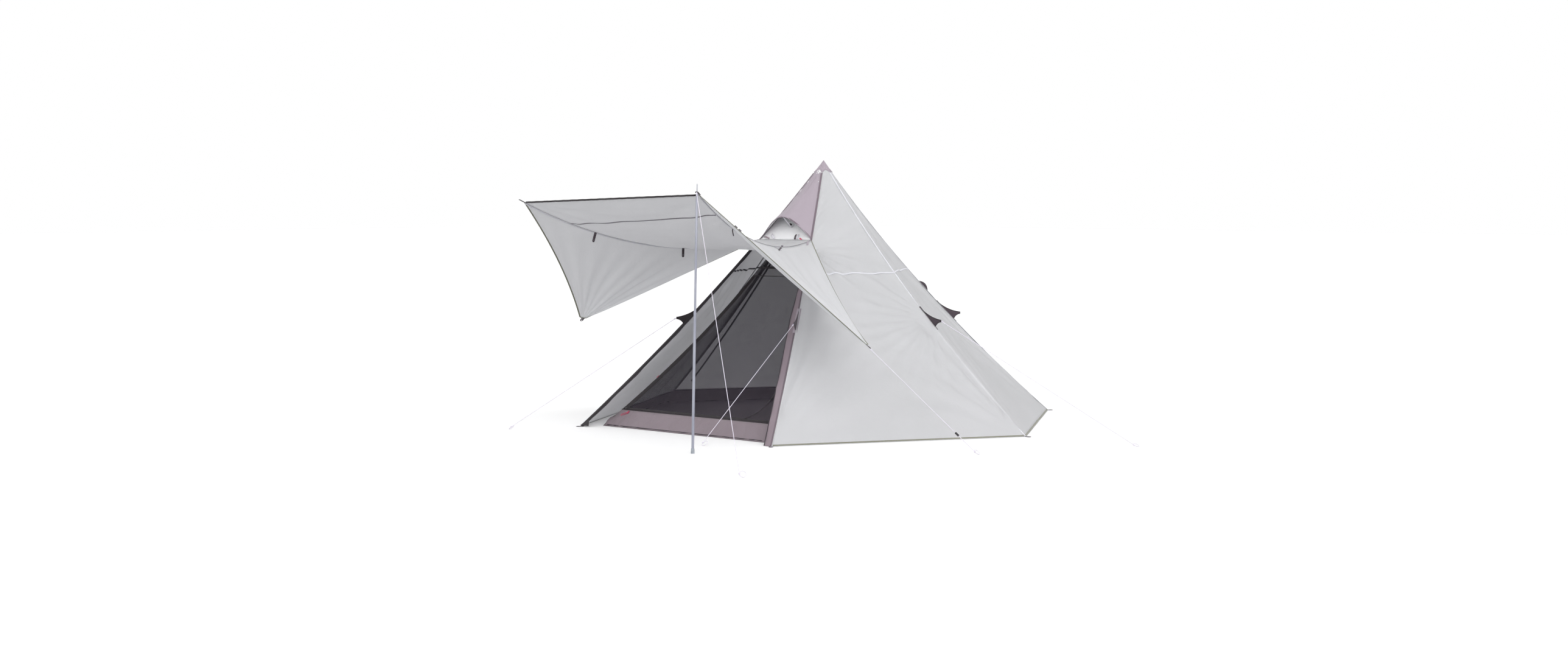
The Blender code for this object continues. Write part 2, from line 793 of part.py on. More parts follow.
def build_centre_pole_top():
    """The thin tube and its cup: a cone under the inner peak, a spigot up to the apex cap."""
    fall = steepness(INNER_RADIUS, INNER_HEIGHT, max(INNER_SAG_SHARES.values()))
    under_cloth = math.hypot(1, fall) * CLOTH / 2
    peak = INNER_HEIGHT + INNER_CAP_LIFT - under_cloth - CLEARANCE * 2
    shoulder = peak - fall * CUP_RADIUS
    fly_fall = steepness(FLY_RADIUS, FLY_HEIGHT, max(FLY_SAG_SHARES.values()))
    under_apex = FLY_HEIGHT + CAP_LIFT - CLOTH / 2 - CLEARANCE * 4
    tip = under_apex - fly_fall * SPIGOT_TIP_RADIUS
    seat = shoulder - CUP_LENGTH
    plug = CENTRE_UPPER_BORE - CLEARANCE
    profile = tube_profile(
        CENTRE_UPPER_RADIUS, CENTRE_UPPER_BORE, CENTRE_UPPER_BOTTOM, seat - CLEARANCE
    )
    add_turned("centre_pole_upper", profile, "pole")
    add_turned(
        "centre_pole_cup",
        [
            (0.0, tip),
            (SPIGOT_TIP_RADIUS, tip),
            (SPIGOT_RADIUS, tip - SPIGOT_RADIUS),
            (SPIGOT_RADIUS, peak - fall * SPIGOT_RADIUS),
            (CUP_RADIUS, shoulder),
            (CUP_RADIUS, seat + CUP_LENGTH / 2),
            (CENTRE_UPPER_RADIUS, seat),
            (plug, seat),
            (plug, seat - CUP_PLUG_LENGTH),
            (0.0, seat - CUP_PLUG_LENGTH),
        ],
        "plastic",
    )


# Inner tent


def build_tray():
    """The tray floor: a hexagon with its rim turned up to meet the walls."""
    half = CLOTH / 2 / SIDE_COS
    around = SIDES * TRAY_COLUMNS
    rings = ((0.0, 0.0, half), (TRAY_HEIGHT, TRAY_HEIGHT, half), (TRAY_HEIGHT, TRAY_HEIGHT, -half))
    points = []
    for wall_height, height, outset in (*rings, (0.0, CLOTH, -half)):
        corners = [inner_ridge(turn, wall_height) + outward(turn) * outset for turn in CORNERS.values()]
        for i in range(around):
            side, step = divmod(i, TRAY_COLUMNS)
            place = corners[side].lerp(corners[(side + 1) % SIDES], step / TRAY_COLUMNS)
            points.append((place.x, place.y, height))
    outer, rim, inner, floor = (range(n * around, (n + 1) * around) for n in range(4))
    faces = [tuple(reversed(outer))]
    for i in range(around):
        j = (i + 1) % around
        faces += [(outer[i], outer[j], rim[j]), (outer[i], rim[j], rim[i])]
        faces += [(rim[i], rim[j], inner[j]), (rim[i], inner[j], inner[i])]
        # Cut along the same diagonal as outside, so that the sloping rim keeps its thickness
        faces += [(inner[i], inner[j], floor[i]), (inner[j], floor[j], floor[i])]
    faces.append(tuple(floor))
    mesh = bpy.data.meshes.new("tray")
    mesh.from_pydata(points, [], faces)
    add_part("inner_tray", mesh, "trim_cloth")


def build_inner():
    build_tray()
    low = TRAY_HEIGHT + TRAY_GAP
    top = INNER_HEIGHT * (1 - INNER_TOP_SHARE)
    insets = (INNER_SEAM_INSET, INNER_SEAM_INSET)
    for name, (first, second) in INNER_WALLS.items():
        surface = panel_surface(inner_ridge, first, second, low, top, PANEL_BELLY, insets)
        add_sheet(name, surface, PANEL_COLUMNS, PANEL_ROWS, "mesh")
    head = DOOR_TOP_HEIGHT + DOOR_HEAD_GAP
    header = panel_surface(inner_ridge, DOOR_LEFT, DOOR_RIGHT, head, top)
    add_sheet("inner_door_header", header, PANEL_COLUMNS, PANEL_ROWS // 2, "mesh")
    base = inner_ridge(DOOR_RIGHT, low)
    hinge = add_empty("mesh_door_hinge", Matrix.Translation(base))
    insets = (DOOR_FREE_INSET, SEAM_INSET)
    sill = low + DOOR_SILL_GAP
    door = panel_surface(inner_ridge, DOOR_LEFT, DOOR_RIGHT, sill, DOOR_TOP_HEIGHT, 0.0, insets)

    def door_surface(s, t):
        return door(s, t) - base

    add_sheet("mesh_door", door_surface, PANEL_COLUMNS * 2, PANEL_ROWS, "mesh", hinge)


def build_zips():
    """Two sliders: one on the sill of the tray, one on the wall beside the door's free edge."""
    outline = rounded_strip(ZIP_LENGTH, ZIP_WIDTH)
    lift = CLOTH / 2 + ZIP_THICKNESS / 2 + CLEARANCE * 1.5
    low = inner_ridge(DOOR_LEFT, 0)
    high = inner_ridge(DOOR_LEFT, TRAY_HEIGHT)
    slope = Vector((0, high.y - low.y, high.z - low.z)).normalized()
    normal = Vector((1, 0, 0)).cross(slope)
    foot = low + (high - low) * SILL_ZIP_SHARE
    origin = Vector((SILL_ZIP_X, foot.y, foot.z)) + normal * lift
    carrier = add_empty("sill_zip_carrier", frame_at(origin, -slope, (1, 0, 0)))
    add_plate("zip_slider_sill", [outline], ZIP_THICKNESS, "zip_red", Matrix(), carrier)
    first, second = INNER_WALLS["inner_front_left"]
    wall_low = TRAY_HEIGHT + TRAY_GAP
    wall_top = INNER_HEIGHT * (1 - INNER_TOP_SHARE)
    wall = panel_surface(inner_ridge, first, second, wall_low, wall_top, PANEL_BELLY)
    s = 1 - SIDE_ZIP_INSET_SHARE
    t = (SIDE_ZIP_HEIGHT - wall_low) / (wall_top - wall_low)
    here = wall(s, t)
    ahead = wall(s, t + ZIP_STEP_SHARE)
    beside = wall(s - ZIP_STEP_SHARE, t)
    up = (ahead - here).normalized()
    normal = (here - beside).cross(up).normalized()
    frame = frame_at(here + normal * (lift + ZIP_SEAT), -up, normal.cross(-up))
    carrier = add_empty("side_zip_carrier", frame)
    add_plate("zip_slider_side", [outline], ZIP_THICKNESS, "zip_red", Matrix(), carrier)


# Guy lines


def line_route(start, end):
    """Points of a taut line and of the tied loop that ends it, just clear of the ground."""
    flat = Vector((end[0] - start.x, end[1] - start.y, 0.0))
    slope = math.atan2(start.z, flat.length)
    height = END_LOOP_RADIUS * math.sin(slope) + LINE_RADIUS + CLEARANCE
    ground = Vector((end[0], end[1], height))
    away = (ground - start).normalized()
    across = Vector((0, 0, 1)).cross(away).normalized()
    points = [start.lerp(ground, i / LINE_POINTS) for i in range(LINE_POINTS + 1)]
    centre = ground + across * END_LOOP_RADIUS
    for i in range(1, END_LOOP_POINTS + 1):
        turn = END_LOOP_TURN * i / END_LOOP_POINTS
        spoke = away * math.sin(turn) - across * math.cos(turn)
        points.append(centre + spoke * END_LOOP_RADIUS)
    return points


def stand_off(place, normal, end):
    """Where a line's flat end starts so that its rim just clears a face at this place."""
    away = (Vector((*end, 0.0)) - place).normalized()
    tilt = LINE_RADIUS * away.cross(normal).length
    return place + normal * (tilt + CLEARANCE * 1.5)


def loop_start(name, end):
    """Where a line leaves the underside of a corner loop, beyond its eye."""
    frame = corner_frame(name)
    out, normal = frame.col[0].to_3d(), frame.col[2].to_3d()
    normal = normal if normal.z < 0 else -normal
    place = EYES[name] + out * ((EYE_RADIUS + CORNER_LOOP_WIDTH / 2) / 2)
    return stand_off(place + normal * (LOOP_THICKNESS / 2), normal, end)


def tab_start(corner, end):
    """Where a line leaves the tip of a guy tab."""
    away = outward(CORNERS[corner])
    start = fly_ridge(CORNERS[corner], TAB_TOP_HEIGHT).dot(away)
    tip = away * (start + TAB_REACH) + Vector((0, 0, TAB_TIP_HEIGHT))
    return stand_off(tip, away, end)


def line_starts():
    return {
        "line_pole": (loop_start("front_right", POLE_LINE_END), POLE_LINE_END),
        "line_corner": (loop_start("side_right", CORNER_LINE_END), CORNER_LINE_END),
        "line_front_right": (tab_start("front_right", FRONT_RIGHT_LINE_END), FRONT_RIGHT_LINE_END),
        "line_right": (tab_start("right", RIGHT_LINE_END), RIGHT_LINE_END),
        "line_front_left": (tab_start("front_left", FRONT_LEFT_LINE_END), FRONT_LEFT_LINE_END),
    }


def build_lines():
    for name, (start, end) in line_starts().items():
        add_tube(name, line_route(start, end), LINE_RADIUS, "cord")
    start, end = line_starts()["line_corner"]
    route = line_route(start, end)
    first, last = route[0], route[LINE_POINTS]
    away = (last - first).normalized()
    side = Vector((0, 0, 1)).cross(away)
    carrier = add_empty(
        "tensioner_carrier", frame_at(first.lerp(last, TENSIONER_SHARE), side, away.cross(side))
    )
    half = TENSIONER_LENGTH / 2
    edge = TENSIONER_RADIUS - TENSIONER_BORE
    add_turned(
        "line_tensioner",
        [
            (TENSIONER_RADIUS - edge / 2, half),
            (TENSIONER_RADIUS, half - edge / 2),
            (TENSIONER_RADIUS, edge / 2 - half),
            (TENSIONER_RADIUS - edge / 2, -half),
            (TENSIONER_BORE, -half),
            (TENSIONER_BORE, half),
        ],
        "plastic",
        carrier,
    )


clear_scene()
parts = new_collection(MODEL)
build_fly()
build_apex()
build_hood()
build_strips()
build_tabs()
build_ridge_tab()
build_peg_loops()
build_awning()
build_corner_loops()
build_straps()
build_awning_pole()
build_centre_pole()
build_inner()
build_zips()
build_lines()
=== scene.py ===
# %% [markdown]
# # A pyramid tent with a raised awning
# The tent stands on one hidden pole under its apex: six ridges run from it to the ground, five cloth
# panels close the sides, and the sixth is lifted on a second pole as an awning. Behind the open side
# hangs an inner tent of dark net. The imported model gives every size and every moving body, so this
# lesson only has to dress it, in cloth, webbing, cord and metal.

# %% Load the frame
import math

import bmesh
import bpy
from mathutils import Matrix, Vector, noise


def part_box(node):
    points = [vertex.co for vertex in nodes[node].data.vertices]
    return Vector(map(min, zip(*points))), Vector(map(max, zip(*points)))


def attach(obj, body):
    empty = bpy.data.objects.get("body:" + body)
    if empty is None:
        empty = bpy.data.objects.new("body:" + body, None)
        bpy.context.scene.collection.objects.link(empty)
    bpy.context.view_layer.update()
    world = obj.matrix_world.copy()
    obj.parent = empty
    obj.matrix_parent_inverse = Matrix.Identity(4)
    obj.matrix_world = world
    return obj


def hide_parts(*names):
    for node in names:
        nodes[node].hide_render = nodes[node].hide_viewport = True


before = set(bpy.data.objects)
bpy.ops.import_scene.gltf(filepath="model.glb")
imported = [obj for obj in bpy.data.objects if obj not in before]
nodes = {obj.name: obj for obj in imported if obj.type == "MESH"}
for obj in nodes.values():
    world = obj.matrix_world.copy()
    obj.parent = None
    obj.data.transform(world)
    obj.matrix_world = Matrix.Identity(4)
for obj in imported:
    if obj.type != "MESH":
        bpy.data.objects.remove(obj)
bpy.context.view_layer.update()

scene = bpy.context.scene


def placed(name, data):
    """Puts a mesh, curve, lamp or camera into the scene."""
    thing = bpy.data.objects.new(name, data)
    scene.collection.objects.link(thing)
    return thing


# %% [markdown]
# ## Shader maths as plain Python
# A node tree for cloth is mostly arithmetic: a thread mask times a strength plus a noise. Dozens of
# Math nodes are hard to read, so a small class wraps a socket, and + - * / on it add the nodes.
# Numbers go through Math nodes; colours and vectors go through Vector Math, which keeps all three
# channels. One method, `node`, makes every other kind of node.

# %% A socket that can be added and multiplied
class Signal:
    """A shader socket. Arithmetic on it adds the node that works the result out."""

    def __init__(self, finish, socket):
        self.finish, self.socket = finish, socket

    def worked(self, operation, *values):
        wide = any(isinstance(v, Signal) and v.socket.type != "VALUE" for v in values)
        if wide:
            values = [(v,) * 3 if isinstance(v, (int, float)) else v for v in values]
        kind = "VectorMath" if wide else "Math"
        return self.finish.node(kind, {"operation": operation}, dict(enumerate(values)))

    def __add__(self, other):
        return self.worked("ADD", self, other)

    def __mul__(self, other):
        return self.worked("MULTIPLY", self, other)

    def __sub__(self, other):
        return self.worked("SUBTRACT", self, other)

    def __rsub__(self, other):
        return self.worked("SUBTRACT", other, self)

    def __truediv__(self, other):
        return self.worked("DIVIDE", self, other)

    def __abs__(self):
        return self.worked("ABSOLUTE", self)

    def larger(self, other):
        return self.worked("MAXIMUM", self, other)

    __radd__ = __add__
    __rmul__ = __mul__


# %% Node trees and colours
THROUGH = (250, 250, 252)


class Finish:
    """The node tree of a material or of the world."""

    def __init__(self, owner):
        self.owner = owner
        owner.use_nodes = True
        self.tree = owner.node_tree
        self.tree.nodes.clear()

    def node(self, kind, settings=None, inputs=None, output=0):
        """Adds one node: its settings first, then the values or links of its sockets."""
        made = self.tree.nodes.new("ShaderNode" + kind)
        for name, value in (settings or {}).items():
            setattr(made, name, value)
        for name, value in (inputs or {}).items():
            if isinstance(value, Signal):
                self.tree.links.new(value.socket, made.inputs[name])
            else:
                made.inputs[name].default_value = value
        return Signal(self, made.outputs[output]) if made.outputs else None

    def place(self):
        return self.node("TexCoord", output="Object")

    def mixed(self, share, first, second):
        return self.node("Mix", {"data_type": "RGBA"}, {0: share, 6: first, 7: second}, 2)

    def step(self, value, low, high):
        """0 below low, 1 above high, and a smooth rise between them."""
        sockets = {"Value": value, "From Min": low, "From Max": high}
        return self.node("MapRange", {"interpolation_type": "SMOOTHSTEP"}, sockets)

    def zigzag(self, value):
        """Rises to a half and falls back once for every whole number."""
        return self.node("Math", {"operation": "PINGPONG"}, {0: value, 1: 0.5})

    def noise(self, place, scale, detail=3.0, distortion=0.0):
        sockets = {"Vector": place, "Scale": scale, "Detail": detail, "Distortion": distortion}
        return self.node("TexNoise", None, sockets)

    def bump(self, strength, distance, height):
        return self.node("Bump", None, {"Strength": strength, "Distance": distance, "Height": height})

    def surface(self, sockets, glow=0.0):
        """Ends a material: a Principled surface that lets a share of the light through."""
        face = self.node("BsdfPrincipled", None, sockets)
        if glow:
            light = self.node("BsdfTranslucent", None, {"Color": colour(*THROUGH)})
            face = self.node("MixShader", None, {0: glow, 1: face, 2: light})
        self.node("OutputMaterial", None, {"Surface": face})
        return self.owner


def colour(*levels):
    """A linear colour from the 8-bit levels seen on a screen."""
    linear = [(x / 255 / 12.92) if x < 11 else ((x / 255 + 0.055) / 1.055) ** 2.4 for x in levels]
    return (*linear, 1.0)


print("fly cloth as a linear colour:", [round(x, 3) for x in colour(243, 243, 245)])

# %% [markdown]
# ## The camera
# The camera stands where the photographer stood: about eye height, well back and to the right of the
# door. The place and the lens were found by fitting known points of the model to the photograph, so
# every edge falls on its pixel. A guess by eye would leave each later comparison in doubt.

# %% Camera
EYE_PLACE = (10.885, -12.649, 1.772)
HEADING, PITCH = math.radians(41.790), math.radians(-3.826)
LENS_MM = 48.213
lens = bpy.data.cameras.new("camera")
lens.lens = LENS_MM
camera = placed("camera", lens)
camera.location = EYE_PLACE
camera.rotation_euler = (math.pi / 2 + PITCH, 0.0, HEADING)
scene.camera = camera
scene.view_settings.view_transform = "Standard"
print("camera", EYE_PLACE, "lens", LENS_MM, "mm")

# %% [markdown]
# ## Studio light and floor
# Thin pale cloth needs light from everywhere, or its undersides go black. The sky is brightest at the
# horizon, like the walls of a studio, so the sides glow through while the roof stays calmer. One wide
# soft sun from the front right parts the ridges. The white background is only painted: rays from the
# camera and reflections see white, while the light on the tent stays level.

# %% World, sun and floor
SKY_HORIZON, SKY_ZENITH = 1.80, 0.34
SUN_LEVEL, SUN_WIDTH = 1.40, math.radians(60)
SUN_TURN = (math.radians(58), 0.0, math.radians(55))
FLOOR_SIZE = 160.0
FLOOR_BOUNCE, FLOOR_GLOW = 0.37, 0.08


def seen_directly(finish):
    """1 for rays that show the background itself, 0 for rays that carry light on to cloth."""
    kinds = ("Camera", "Glossy", "Transmission", "Diffuse")
    rays = (finish.node("LightPath", output=f"Is {kind} Ray") for kind in kinds)
    camera_ray, glossy, through, diffuse = rays
    return finish.step(camera_ray + glossy + through * (1 - diffuse), 0.0, 1.0)


def grey(level):
    return (level, level, level, 1)


scene.world = bpy.data.worlds.new("studio")
sky = Finish(scene.world)
height = sky.node("SeparateXYZ", None, {0: sky.node("TexCoord", output="Generated")}, "Z")
level = SKY_HORIZON + height.larger(0.0) * (SKY_ZENITH - SKY_HORIZON)
level = level + seen_directly(sky) * (1 - level)
glow = sky.node("Background", None, {"Color": grey(1), "Strength": level})
sky.node("OutputWorld", None, {"Surface": glow})

lamp = bpy.data.lights.new("sun", "SUN")
lamp.energy, lamp.angle = SUN_LEVEL, SUN_WIDTH
placed("sun", lamp).rotation_euler = SUN_TURN

floor_mesh = bpy.data.meshes.new("floor")
half = FLOOR_SIZE / 2
floor_corners = [(-half, -half, 0), (half, -half, 0), (half, half, 0), (-half, half, 0)]
floor_mesh.from_pydata(floor_corners, [], [(0, 1, 2, 3)])
paper = Finish(bpy.data.materials.new("floor"))
shown = seen_directly(paper)
floor_mesh.materials.append(paper.surface({
    "Base Color": paper.mixed(shown, grey(FLOOR_BOUNCE), grey(1)),
    "Roughness": 1.0,
    "Emission Color": paper.mixed(shown, grey(0), grey(FLOOR_GLOW)),
    "Emission Strength": 1.0,
}))
placed("floor", floor_mesh)
print("sky", SKY_HORIZON, SKY_ZENITH, "sun", SUN_LEVEL)

# %% [markdown]
# ## The lines that the tent is cut to
# Each ridge is a tape pulled between the apex and a peg. The cloth on both sides draws it in, so it
# sags towards the pole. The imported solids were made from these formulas, and repeating them here puts
# every sheet exactly on its solid, with as many points as a fold needs.

# %% Ridges, panels and small shapes
CORNERS = {
    "front_left": -120, "front_right": -60, "right": 0, "rear_right": 60, "rear_left": 120, "left": 180,
}
DOOR_LEFT, DOOR_RIGHT = -120, -60
DOOR = {"left": DOOR_LEFT, "right": DOOR_RIGHT}
PLAIN_RIDGES = {corner: azimuth for corner, azimuth in CORNERS.items() if azimuth not in DOOR.values()}
SEAM_INSET = 0.0008
UP, RIGHT = Vector((0, 0, 1)), Vector((1, 0, 0))


def shares(count, margin=0.0):
    """From 0 to 1 in this many equal steps, or a margin short of both."""
    return [margin + (1 - 2 * margin) * i / count for i in range(count + 1)]


def parabola(share):
    """0 at both ends and 1 in the middle."""
    return 4 * share * (1 - share)


def outward(azimuth):
    turn = math.radians(azimuth)
    return Vector((math.cos(turn), math.sin(turn), 0.0))


def ridges(radius, top, sags):
    """The formula of one tent's ridges: a point on the ridge at an azimuth, at a height."""

    def ridge(azimuth, height):
        azimuth = azimuth - 360 if azimuth > 180 else azimuth
        down = 1 - height / top
        return outward(azimuth) * (radius * (down - sags[azimuth] * parabola(down))) + UP * height

    return ridge


FLY_RADIUS, FLY_HEIGHT = 1.972, 2.046
INNER_RADIUS, INNER_HEIGHT = 1.800, 1.985
FLY_SAGS = {-120: 0.040, -60: 0.055, 0: 0.057, 60: 0.057, 120: 0.055, 180: 0.055}
INNER_SAGS = {-120: 0.100, -60: 0.100, 0: 0.060, 60: 0.060, 120: 0.060, 180: 0.050}
fly_ridge = ridges(FLY_RADIUS, FLY_HEIGHT, FLY_SAGS)
inner_ridge = ridges(INNER_RADIUS, INNER_HEIGHT, INNER_SAGS)


def between(start, end, share, start_inset=SEAM_INSET, end_inset=SEAM_INSET):
    """A point on a level line between two ridges, kept clear of both."""
    length = (end - start).length
    step = start_inset + (length - start_inset - end_inset) * share
    return start + (end - start) * (step / length)


def panel(ridge, first, low, high, belly=0.0, insets=(SEAM_INSET, SEAM_INSET)):
    """A panel from one ridge to the next, ruled by level lines, its middle drawn in a little."""

    def surface(s, t):
        height = low + (high - low) * t
        place = between(ridge(first, height), ridge(first + 60, height), s, *insets)
        return place - outward(first + 30) * (belly * parabola(s) * parabola(t))

    return surface


def all_round(ridge, s, height):
    """A point on the walls at a height, as s goes once round from the door's left ridge."""
    side = min(int(s * 6), 5)
    first = side * 60 + DOOR_LEFT
    return ridge(first, height).lerp(ridge(first + 60, height), s * 6 - side)


def frame_at(origin, x_axis, y_axis):
    """A placing matrix from an origin and two directions."""
    x = Vector(x_axis).normalized()
    z = x.cross(Vector(y_axis)).normalized()
    matrix = Matrix((x, z.cross(x), z)).transposed().to_4x4()
    matrix.translation = Vector(origin)
    return matrix


print("front right ridge at 1 m:", [round(x, 3) for x in fly_ridge(DOOR_RIGHT, 1.0)])

# %% [markdown]
# ## Three ways to make a soft piece
# A sheet is a grid of points given a little thickness. A tape, binding or cord is a flat or round
# section swept along a line. A webbing end with an eye is an outline with a hole, given thickness.
# Every point also stores its place on the cut cloth, in metres across and along, so that a weave can
# follow the cloth round a fold. Object coordinates would cut through it at a slant instead.

# %% What every soft piece shares
cutting_list, SLOT_OF = {}, {}
STANDS_FOR_NODE = ("cloth", "net", "webbing")
SHEET_WELD, PLATE_WELD = 0.00005, 0.00002


def finished(name, mesh, cloth, finish, body="tent", slot=None, replaced=None, on=None):
    """Dresses and mounts a piece. A sheet or webbing named after a node replaces that node, and a
    piece sewn on a sheet is noted with it."""
    mesh.name = name
    layer = mesh.attributes.new("cloth", "FLOAT_VECTOR", "POINT")
    layer.data.foreach_set("vector", [x for place in cloth for x in place])
    mesh.shade_smooth()
    mesh.materials.append(finish)
    piece = placed(name, mesh)
    slot or SLOT_OF[finish]
    node, _, kind = name.rpartition("_")
    if replaced or kind in STANDS_FOR_NODE:
        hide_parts(replaced or node)
    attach(piece, body)
    if on:
        cutting_list[on]["trims"].append(piece)
    return piece


def length_of(points):
    return sum((b - a).length for a, b in zip(points, points[1:]))


def welded(mesh, distance, face_out=False):
    """Joins the points that lie on each other."""
    work = bmesh.new()
    work.from_mesh(mesh)
    bmesh.ops.remove_doubles(work, verts=work.verts, dist=distance)
    if face_out:
        bmesh.ops.recalc_face_normals(work, faces=work.faces)
    work.to_mesh(mesh)
    work.free()


# %% Sheets
def cloth_grid(surface, columns, rows, folds):
    """Points on a surface with its folds, their places on the cut cloth, its size and its area."""
    flat = [[surface(s, t) for s in shares(columns)] for t in shares(rows)]
    run = [length_of(row) for row in flat]
    middle = [row[columns // 2] for row in flat]
    points, cloth = [], []
    for j, row in enumerate(flat):
        v = length_of(middle[: j + 1])
        for i, place in enumerate(row):
            s, t = i / columns, j / rows
            u = (s - 0.5) * run[j]
            cloth.append((u, v, 0.0))
            if folds:
                side = row[min(i + 1, columns)] - row[max(i - 1, 0)]
                rise = flat[min(j + 1, rows)][i] - flat[max(j - 1, 0)][i]
                place = place + side.cross(rise).normalized() * folds(s, t, u, v)
            points.append(place)
    area = sum(
        ((b - a).cross(c - a).length + (c - a).cross(d - a).length) / 2
        for lower, upper in zip(flat, flat[1:])
        for a, b, c, d in zip(lower, lower[1:], upper[1:], upper)
    )
    return points, cloth, (max(run), max(length_of(column) for column in zip(*flat))), area


def sheet(name, surface, columns, rows, finish, folds=None, thickness=0.0012, held="stretched", flat=None,
          weld=False, **mount):
    """A sheet of cloth from surface(s, t), noted in the cutting list."""
    points, cloth, size, area = cloth_grid(surface, columns, rows, folds)
    wide = columns + 1
    starts = [j * wide + i for j in range(rows) for i in range(columns)]
    mesh = bpy.data.meshes.new(name)
    mesh.from_pydata(points, [], [(n, n + 1, n + wide + 1, n + wide) for n in starts])
    piece = finished(name, mesh, cloth, finish, **mount)
    if weld:
        welded(mesh, SHEET_WELD)
    solid = piece.modifiers.new("cloth", "SOLIDIFY")
    solid.thickness, solid.offset = thickness, 0.0
    cutting_list[name] = {
        "piece": piece, "flat": flat or size, "area": area, "held": held, "trims": [], "columns": columns,
    }


def grid_of(sheet_name):
    """The rows of a sheet's points, folds and all."""
    facts = cutting_list[sheet_name]
    vertices, wide = facts["piece"].data.vertices, facts["columns"] + 1
    return [vertices[start : start + wide] for start in range(0, len(vertices), wide)]


def row_of(sheet_name, share, lift):
    """Points along one row of a sheet, lifted off its face."""
    grid = grid_of(sheet_name)
    return [v.co + v.normal * lift for v in grid[round(share * (len(grid) - 1))]]


def slanted_row(sheet_name, low_share, high_share, lift):
    """Points across a sheet between two shares of its height, lifted off its face."""
    grid, points = grid_of(sheet_name), []
    last = len(grid[0]) - 1
    for i in range(last + 1):
        level = (low_share + (high_share - low_share) * i / last) * (len(grid) - 1)
        below, above = grid[int(level)][i], grid[int(level) + 1][i]
        points.append(below.co.lerp(above.co, level % 1.0) + below.normal * lift)
    return points


# %% Sweeps and plates
PLATE_ROUND = 0.0005


def sweep(name, points, wide, thick, across, finish, lift=Vector(), square=0.45, sides=12, **mount):
    """A strip of oval or flat section along a line of points and off it by lift, closed at both ends."""
    points = [point + lift for point in points]
    sections, cloth, along = [], [], 0.0
    last = len(points) - 1
    for i, place in enumerate(points):
        tangent = (points[min(i + 1, last)] - points[max(i - 1, 0)]).normalized()
        way = across[i] if isinstance(across, list) else across
        side = (way - tangent * way.dot(tangent)).normalized()
        up = tangent.cross(side)
        size = wide[i] if isinstance(wide, list) else wide
        along += (place - points[max(i - 1, 0)]).length
        for k in range(sides):
            turn = math.tau * k / sides
            x = math.copysign(abs(math.cos(turn)) ** square, math.cos(turn)) * size / 2
            y = math.copysign(abs(math.sin(turn)) ** square, math.sin(turn)) * thick / 2
            sections.append(place + side * x + up * y)
            cloth.append((x, along, 0.0))
    faces = [tuple(reversed(range(sides)))]
    for low in range(0, last * sides, sides):
        high, neighbours = low + sides, [(k, (k + 1) % sides) for k in range(sides)]
        faces += [(low + k, low + n, high + n, high + k) for k, n in neighbours]
    faces.append(tuple(last * sides + k for k in range(sides)))
    mesh = bpy.data.meshes.new(name)
    mesh.from_pydata(sections, [], faces)
    return finished(name, mesh, cloth, finish, **mount)


def add_spline(curve, points):
    spline = curve.splines.new("POLY")
    spline.points.add(len(points) - 1)
    for target, place in zip(spline.points, points):
        target.co = (*place, 1.0)
    return spline


def plate(name, outlines, thickness, matrix, finish, **mount):
    """A flat piece with rounded rims from closed outlines; the second outline is a hole."""
    curve = bpy.data.curves.new(name, "CURVE")
    curve.dimensions, curve.fill_mode = "2D", "BOTH"
    curve.extrude, curve.bevel_depth = thickness / 2 - PLATE_ROUND, PLATE_ROUND
    curve.bevel_resolution = 2
    curve.offset = -PLATE_ROUND
    for outline in outlines:
        add_spline(curve, [(x, y, 0.0) for x, y in outline]).use_cyclic_u = True
    holder = bpy.data.objects.new("holder", curve)
    mesh = bpy.data.meshes.new_from_object(holder)
    bpy.data.objects.remove(holder)
    welded(mesh, PLATE_WELD, face_out=True)
    mesh.materials.clear()
    cloth = [(v.co.y, v.co.x, 0.0) for v in mesh.vertices]
    mesh.transform(matrix)
    return finished(name, mesh, cloth, finish, **mount)


print("three makers: sheet, sweep and plate")

# %% [markdown]
# ## Cloth and webbing finishes
# Tent cloth is a thin coated weave with a thicker thread every few millimetres that stops a tear. It
# has a faint sheen, small creases from packing, and lets some light through, so a share of a
# Translucent shader is mixed in: without it the awning's underside would look like painted board.
# Webbing is the same idea with bold ribs, and the net is cloth with most of its holes open.

# %% Woven finishes
# Noise is given by scale, detail and distortion; each finish sets the scale of its own creases
CLOUDS, GRIME = (2.3, 4.0, 0.4), (0.9, 6.0, 1.2)
CREASE_DETAIL, FINE_SCALE = (5.0, 0.9), 7
THREAD_SHARE = 0.12
NET_PITCH, NET_SHARE = 0.004, 0.3
STITCH_LENGTH, STITCH_SHADE = 0.0045, 0.45
ROUGH, ROUGH_VARIES = 0.60, 0.16
CREASE_HEIGHT = 0.012


